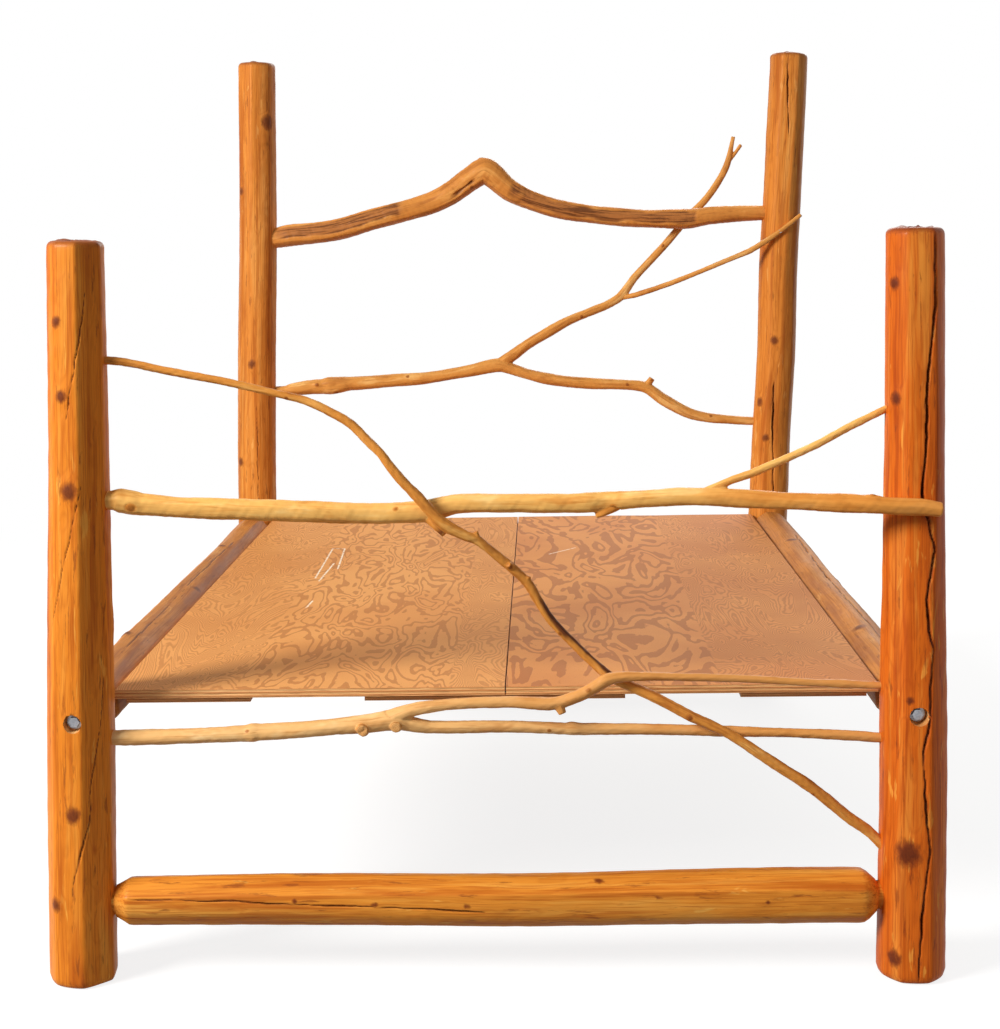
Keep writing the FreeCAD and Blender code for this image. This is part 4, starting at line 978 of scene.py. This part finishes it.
low_trunk = [into_post("left_foot", 487, 14.5)] + at(FOOT_Y, [
    (-0.87, 0, 487, 15.5),
    (-0.73, 0, 490, 14.5),
    (-0.60, 0, 494, 15.5),
    (-0.585, 0, 495, 17.5),
    (-0.565, 0, 496, 15.5),
    (-0.49, 0, 499, 15.5),
    (-0.39, 0, 505, 16),
    (-0.30, 0, 511, 18),
    (-0.24, 1, 517, 20),
    (-0.20, 3, 508, 15),
    (-0.15, 6, 501, 12.5),
    (0.04, 12, 499, 12),
    (0.17, 15, 493, 11.5),
    (0.187, 15, 493, 13),
    (0.21, 15, 492, 11.5),
    (0.37, 16, 490, 10.5),
    (0.55, 15, 485, 10.5),
    (0.70, 10, 482, 9.5),
    (0.86, 4, 477, 10),
]) + [into_post("right_foot", 472, 10)]
upper_arm = at(FOOT_Y, [
    (-0.25, 0, 521, 17),
    (-0.19, -4, 540, 13),
    (-0.10, -8, 551, 11),
    (0.04, -12, 555, 11),
    (0.13, -14, 552, 12.5),
    (0.16, -14, 555, 12),
    (0.21, -15, 570, 12),
    (0.25, -15, 588, 12.5),
    (0.27, -15, 598, 12.5),
    (0.30, -14, 603, 10.5),
    (0.36, -13, 604, 9),
    (0.46, -10, 601, 8),
    (0.61, -6, 595, 7.5),
    (0.77, -2, 585, 7.5),
    (0.84, -1, 582, 9),
    (0.87, 0, 580, 8),
]) + [into_post("right_foot", 577, 7)]
sawn_stub = at(FOOT_Y, [(-0.315, 0, 505, 14), (-0.315, -24, 503, 12)])
second_stub = at(FOOT_Y, [(-0.235, 0, 510, 13), (-0.235, -21, 508, 10.5)])
elbow_stub = at(FOOT_Y, [(0.155, -14, 552, 11), (0.165, -16, 532, 8)])
low_branch = branch_piece("footboard_low_limb", [low_trunk, upper_arm, sawn_stub, second_stub, elbow_stub], 9,
                          knots=[(0, 0.19, -30, 0.003, 0.001), (0, 0.57, 10, 0.003, 0.001),
                                 (0, 0.36, 160, 0.006, 0.002), (1, 0.40, -20, 0.004, 0.001),
                                 (2, 0.96, 0, 0.005, 0.0005), (3, 0.96, 0, 0.004, 0.0005)])
finish_branch(low_branch, "footboard_low_branch", THIN_BRANCH)

diagonal_stem = [into_post("right_foot", 232, 11)] + at(FOOT_Y, [
    (0.90, 0, 283, 11),
    (0.85, -3, 314, 11.5),
    (0.76, -7, 376, 11.5),
    (0.66, -10, 432, 11),
    (0.56, -10, 487, 10.5),
    (0.47, -7, 523, 10.5),
    (0.38, 4, 560, 11),
    (0.28, 11, 598, 10.5),
    (0.223, 10, 640, 9),
    (0.19, 9, 668, 9),
    (0.161, 8, 693, 9.5),
    (0.133, 6, 721, 9.5),
    (0.11, 4, 754, 10),
    (0.087, 1, 787, 10),
    (0.049, -4, 820, 10),
    (0.026, -8, 836, 10),
    (-0.007, -13, 860, 9.5),
    (-0.035, -18, 879, 10),
    (-0.058, -22, 887, 11),
    (-0.102, -27, 907, 12),
    (-0.125, -28, 922, 12),
    (-0.165, -28, 960, 11),
    (-0.204, -26, 994, 10),
    (-0.234, -22, 1024, 9.5),
    (-0.26, -17, 1052, 9),
    (-0.29, -12, 1076, 9),
    (-0.33, -7, 1108, 9),
    (-0.377, -3, 1130, 9),
    (-0.435, 0, 1152, 8.5),
    (-0.499, 0, 1166, 8),
    (-0.618, 0, 1190, 8),
    (-0.75, 0, 1212, 8),
    (-0.87, 0, 1233, 8),
]) + [into_post("left_foot", 1238, 8)]
diagonal_stubs = [
    at(FOOT_Y, [(0.05, -4, 820, 8.5), (0.04, -17, 829, 6)]),
    at(FOOT_Y, [(0.087, 1, 787, 8), (0.089, -7, 803, 4)]),
    at(FOOT_Y, [(-0.03, -17, 876, 8), (-0.034, -20, 896, 4)]),
]
diagonal = branch_piece("footboard_diagonal_limb", [diagonal_stem] + diagonal_stubs, 13,
                        knots=[(0, 0.11, -40, 0.003, 0.001), (0, 0.26, -10, 0.005, 0.002),
                               (0, 0.42, -20, 0.003, 0.001), (1, 0.9, 0, 0.005, 0.001),
                               (0, 0.80, -30, 0.003, 0.001)],
                        channels=[(0, 0.345, 0.475, 68, 62, 0.0008), (2, 0.3, 1.4, 0, 200, 0.0003),
                                  (3, 0.3, 1.4, 0, 200, 0.0003)])
finish_branch(diagonal, "footboard_diagonal_branch", WOVEN_BRANCH)


# ---------------------------------------------------------------- branches at the head

peak_line = [into_post("left_head", 1462, 31)] + at(HEAD_Y, [
    (-0.84, 0, 1475, 35),
    (-0.68, 0, 1486, 35),
    (-0.53, 0, 1518, 35),
    (-0.37, 0, 1550, 34),
    (-0.29, 0, 1570, 35),
    (-0.21, 0, 1602, 37),
    (-0.14, 0, 1643, 38),
    (-0.08, 0, 1667, 42),
    (0.01, 0, 1607, 36),
    (0.09, 0, 1573, 32),
    (0.24, 0, 1537, 30),
    (0.40, 0, 1519, 29),
    (0.55, 0, 1509, 30.5),
    (0.70, 0, 1507, 32),
    (0.78, 0, 1514, 29.5),
    (0.90, 0, 1521, 26),
]) + [into_post("right_head", 1522, 25)]
peak_tip = at(HEAD_Y, [(-0.085, 0, 1662, 30), (-0.092, 0, 1692, 17), (-0.097, 0, 1708, 9)])
peak = branch_piece("headboard_peak_limb", [peak_line, peak_tip], 19, voxel=0.0026,
                    knots=[(0, 0.40, 40, 0.005, 0.001), (0, 0.80, 150, 0.009, 0.003)],
                    channels=[(0, 0.02, 0.27, -25, 42, 0.003), (0, 0.355, 0.42, 22, 11, 0.006),
                              (0, 0.50, 0.86, -8, 46, 0.003)])
finish_branch(peak, "headboard_top_rail", PEAK_RAIL)

HEAD_LAP = -(0.0577 + 0.008 + 0.0003)/MM
BEHIND = 46
low_arm = [into_post("left_head", 976, 17)] + at(HEAD_Y, [
    (-0.875, 0, 979, 16),
    (-0.85, 0, 982, 20),
    (-0.78, 0, 989, 22),
    (-0.735, 0, 991, 24),
    (-0.70, 0, 993, 29),
    (-0.66, 0, 996, 27),
    (-0.62, 0, 999, 23),
    (-0.47, 0, 1007, 21),
    (-0.31, 0, 1016, 19.5),
    (-0.155, 0, 1035, 20),
    (-0.04, 0, 1052, 22),
    (0.02, 0, 1036, 18.5),
    (0.08, 0, 1020, 17.5),
    (0.155, 0, 1006, 19),
    (0.23, 0, 996, 18.5),
    (0.31, 0, 990, 17.5),
    (0.46, 0, 983, 16.5),
    (0.53, 0, 974, 18),
    (0.60, 0, 933, 19),
    (0.69, 0, 893, 17.5),
    (0.77, 0, 875, 16),
    (0.86, 0, 867, 14),
]) + [into_post("right_head", 861, 13)]
steep_arm = at(HEAD_Y, [
    (-0.07, 0, 1046, 13),
    (0.00, 0, 1074, 18.5),
    (0.08, 1, 1120, 16.5),
    (0.16, 4, 1157, 16),
    (0.235, 8, 1190, 15),
    (0.31, 14, 1215, 13.5),
    (0.39, 20, 1240, 13),
    (0.44, 27, 1266, 14),
    (0.49, 34, 1320, 12.5),
    (0.545, 41, 1367, 12),
    (0.62, BEHIND, 1431, 12),
    (0.70, BEHIND, 1507, 12),
    (0.78, BEHIND - 2, 1574, 12),
    (0.85, BEHIND - 3, 1665, 11),
    (0.88, BEHIND - 4, 1763, 6),
])
tip_twig = at(HEAD_Y, [(0.852, BEHIND - 3, 1672, 5.5), (0.91, BEHIND - 2, 1737, 6)])
right_arm = at(HEAD_Y, [
    (0.435, 25, 1258, 7.5),
    (0.50, 12, 1270, 9),
    (0.62, HEAD_LAP*0.2, 1302, 8.5),
    (0.70, HEAD_LAP*0.42, 1327, 8),
    (0.775, HEAD_LAP*0.65, 1352, 8),
    (0.85, HEAD_LAP*0.85, 1378, 8),
    (0.935, HEAD_LAP, 1407, 9.5),
    (1.04, HEAD_LAP, 1462, 8),
    (1.12, HEAD_LAP, 1513, 7),
])
head_elbow = at(HEAD_Y, [(0.53, 0, 976, 12), (0.555, -4, 1003, 10)])
head_branch = branch_piece("headboard_forked_limb", [low_arm, steep_arm, tip_twig, right_arm, head_elbow], 23,
                           knots=[(0, 0.10, -20, 0.005, 0.003), (0, 0.135, 50, 0.006, 0.004),
                                  (0, 0.28, -30, 0.004, 0.001), (0, 0.72, -10, 0.004, 0.001),
                                  (0, 0.90, -30, 0.004, 0.001), (1, 0.30, 20, 0.004, 0.001),
                                  (1, 0.62, -20, 0.004, 0.001), (4, 0.96, 0, 0.004, 0.001)])
finish_branch(head_branch, "headboard_branch", HEAD_BRANCH)


# ---------------------------------------------------------------- deck

LEFT_FACE = fir_plywood("left_panel_face", shade(226, 158, 88), shade(214, 144, 76), shade(166, 98, 42),
                        (DECK_MIDDLE_X - 0.52, SEAM_X - 0.113), 3.1, (10.5, 3.4, 12.0, 0.34),
                        scratches=[((-0.53, 0.10), (-0.535, 0.52)), ((-0.535, 0.52), (-0.50, 0.52)),
                                   ((-0.50, 0.52), (-0.485, 0.22)), ((-0.515, 0.06), (-0.505, 0.30)),
                                   ((-0.505, -0.26), (-0.50, -0.18))])
RIGHT_FACE = fir_plywood("right_panel_face", shade(218, 146, 78), shade(206, 132, 68), shade(150, 82, 36),
                         (SEAM_X - 0.01, DECK_MIDDLE_X + 0.455), 8.4, (8.5, 2.8, 9.0, 0.38),
                         scratches=[((0.09, 0.40), (0.165, 0.49))])


def layered_edge(name, node, plies, across):
    low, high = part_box(node)
    return ply_edge(name, shade(236, 184, 120), shade(206, 138, 78), shade(150, 86, 42), low.z, high.z, plies, across)


PANEL_EDGE = layered_edge("panel_edge_plies", "left_deck_panel", 5, True)
STRAP_EDGE = layered_edge("strap_edge_plies", "centre_deck_strap", 5, True)

for side, seed, face in (("left", 51, LEFT_FACE), ("right", 57, RIGHT_FACE)):
    mesh, side_faces = plywood_panel(f"{side}_deck_panel", f"{side}_panel", seed)
    mesh.materials.append(face)
    mesh.materials.append(PANEL_EDGE)
    mesh.polygons.foreach_set("material_index", side_faces)
    panel = bpy.data.objects.new(f"{side}_plywood_sheet", mesh)
    bpy.context.scene.collection.objects.link(panel)
    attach(panel, f"{side}_panel")
    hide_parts(f"{side}_deck_panel")


def soften_edges(node, width):
    bevel = nodes[node].modifiers.new("worn_edges", "BEVEL")
    bevel.width = width
    bevel.segments = 2
    bevel.limit_method = "ANGLE"
    bevel.angle_limit = math.radians(60)


for strap in ("left", "centre", "right"):
    paint_node(f"{strap}_deck_strap", STRAP_EDGE)
    soften_edges(f"{strap}_deck_strap", 0.8*MM)
for index in range(1, 7):
    paint_node(f"deck_slat_{index}", LUMBER_X)
    soften_edges(f"deck_slat_{index}", 1.5*MM)
for side in ("left", "right"):
    paint_node(f"{side}_ledger", LUMBER_Y)
    soften_edges(f"{side}_ledger", 1.5*MM)


# ---------------------------------------------------------------- steel

for node in ("bed_bolts", "bed_bolt_washers", "bed_bolt_barrel_nuts", "lapped_branch_lag_screws",
             "ledger_screws", "slat_screws", "strap_screws"):
    paint_node(node, STEEL)


# ---------------------------------------------------------------- floor, light and camera

def backdrop_white(name):
    """A white floor that keeps the object's shadow and fades to pure white."""
    paint = Finish(name)
    path = paint.node("ShaderNodeLightPath")
    seen = paint.math("MAXIMUM", path.outputs["Is Camera Ray"], paint.math(
        "MAXIMUM", path.outputs["Is Glossy Ray"], path.outputs["Is Transmission Ray"]))
    place = paint.node("ShaderNodeTexCoord").outputs["Object"]
    away = paint.node("ShaderNodeVectorMath", place, operation="LENGTH").outputs["Value"]
    far = paint.between(away, 2.2, 5.0)
    shader = paint.shader
    paint.feed(shader.inputs["Base Color"], paint.mix(far, (0.25, 0.25, 0.25, 1), (0, 0, 0, 1)))
    shader.inputs["Roughness"].default_value = 1.0
    shader.inputs["Specular IOR Level"].default_value = 0.0
    shader.inputs["Emission Color"].default_value = (1, 1, 1, 1)
    paint.feed(shader.inputs["Emission Strength"], paint.math(
        "MULTIPLY", seen, paint.math("MULTIPLY_ADD", far, 0.17, 0.83)))
    return paint.material


floor_mesh = bpy.data.meshes.new("floor")
reach = 40
floor_mesh.from_pydata([(-reach, -reach, 0), (reach, -reach, 0), (reach, reach, 0), (-reach, reach, 0)], [],
                       [(0, 1, 2, 3)])
floor_mesh.materials.append(backdrop_white("studio_floor"))
floor = bpy.data.objects.new("floor", floor_mesh)
floor.location.z = -0.001
bpy.context.scene.collection.objects.link(floor)


def area_light(name, place, target, size, watts, tint=(1, 1, 1)):
    lamp = bpy.data.lights.new(name, "AREA")
    lamp.shape = "DISK"
    lamp.size = size
    lamp.energy = watts
    lamp.color = tint
    item = bpy.data.objects.new(name, lamp)
    item.location = place
    item.rotation_euler = (Vector(target) - Vector(place)).to_track_quat("-Z", "Y").to_euler()
    bpy.context.scene.collection.objects.link(item)


area_light("key", (-5.8, -4.4, 4.6), (0, 0, 0.8), 2.6, 800, (1.0, 0.98, 0.95))
area_light("fill", (4.5, -5.5, 3.0), (0, 0, 0.8), 4.0, 45, (1.0, 0.97, 0.93))
area_light("back", (1.5, 5.5, 4.0), (0, 0, 0.8), 4.0, 160, (1.0, 0.97, 0.93))

world = bpy.data.worlds.new("studio")
bpy.context.scene.world = world
world.use_nodes = True
tree = world.node_tree
background = tree.nodes["Background"]
path = tree.nodes.new("ShaderNodeLightPath")
straight = tree.nodes.new("ShaderNodeMath")
straight.operation = "MAXIMUM"
tree.links.new(path.outputs["Is Camera Ray"], straight.inputs[0])
tree.links.new(path.outputs["Is Transmission Ray"], straight.inputs[1])
seen = tree.nodes.new("ShaderNodeMath")
seen.operation = "MAXIMUM"
tree.links.new(straight.outputs[0], seen.inputs[0])
tree.links.new(path.outputs["Is Glossy Ray"], seen.inputs[1])
strength = tree.nodes.new("ShaderNodeMapRange")
tree.links.new(seen.outputs[0], strength.inputs["Value"])
strength.inputs["To Min"].default_value = 0.24
strength.inputs["To Max"].default_value = 1.0
tree.links.new(strength.outputs[0], background.inputs["Strength"])
background.inputs["Color"].default_value = (1, 1, 1, 1)

camera_data = bpy.data.cameras.new("photo_view")
camera_data.lens = 59.37
camera_data.sensor_width = 36
camera_data.shift_y = -0.13
camera = bpy.data.objects.new("photo_view", camera_data)
bpy.context.scene.collection.objects.link(camera)
yaw, pitch, roll = (math.radians(angle) for angle in (1.411, 4.946, -0.932))
forward = Vector((-math.sin(yaw)*math.cos(pitch), math.cos(yaw)*math.cos(pitch), -math.sin(pitch)))
right = forward.cross(Vector((0, 0, 1))).normalized()
up = right.cross(forward)
tilted_right = right*math.cos(roll) + up*math.sin(roll)
tilted_up = up*math.cos(roll) - right*math.sin(roll)
CAMERA_ASIDE = 0.103
CAMERA_BACK = 3.267
CAMERA_HEIGHT = 1.4685
camera_place = Vector((DECK_MIDDLE_X + CAMERA_ASIDE, FOOT_Y - CAMERA_BACK, CAMERA_HEIGHT))
turn = Matrix((tilted_right, tilted_up, -forward)).transposed().to_4x4()
camera.matrix_world = Matrix.Translation(camera_place) @ turn
bpy.context.scene.camera = camera
bpy.context.scene.view_settings.view_transform = "Standard"
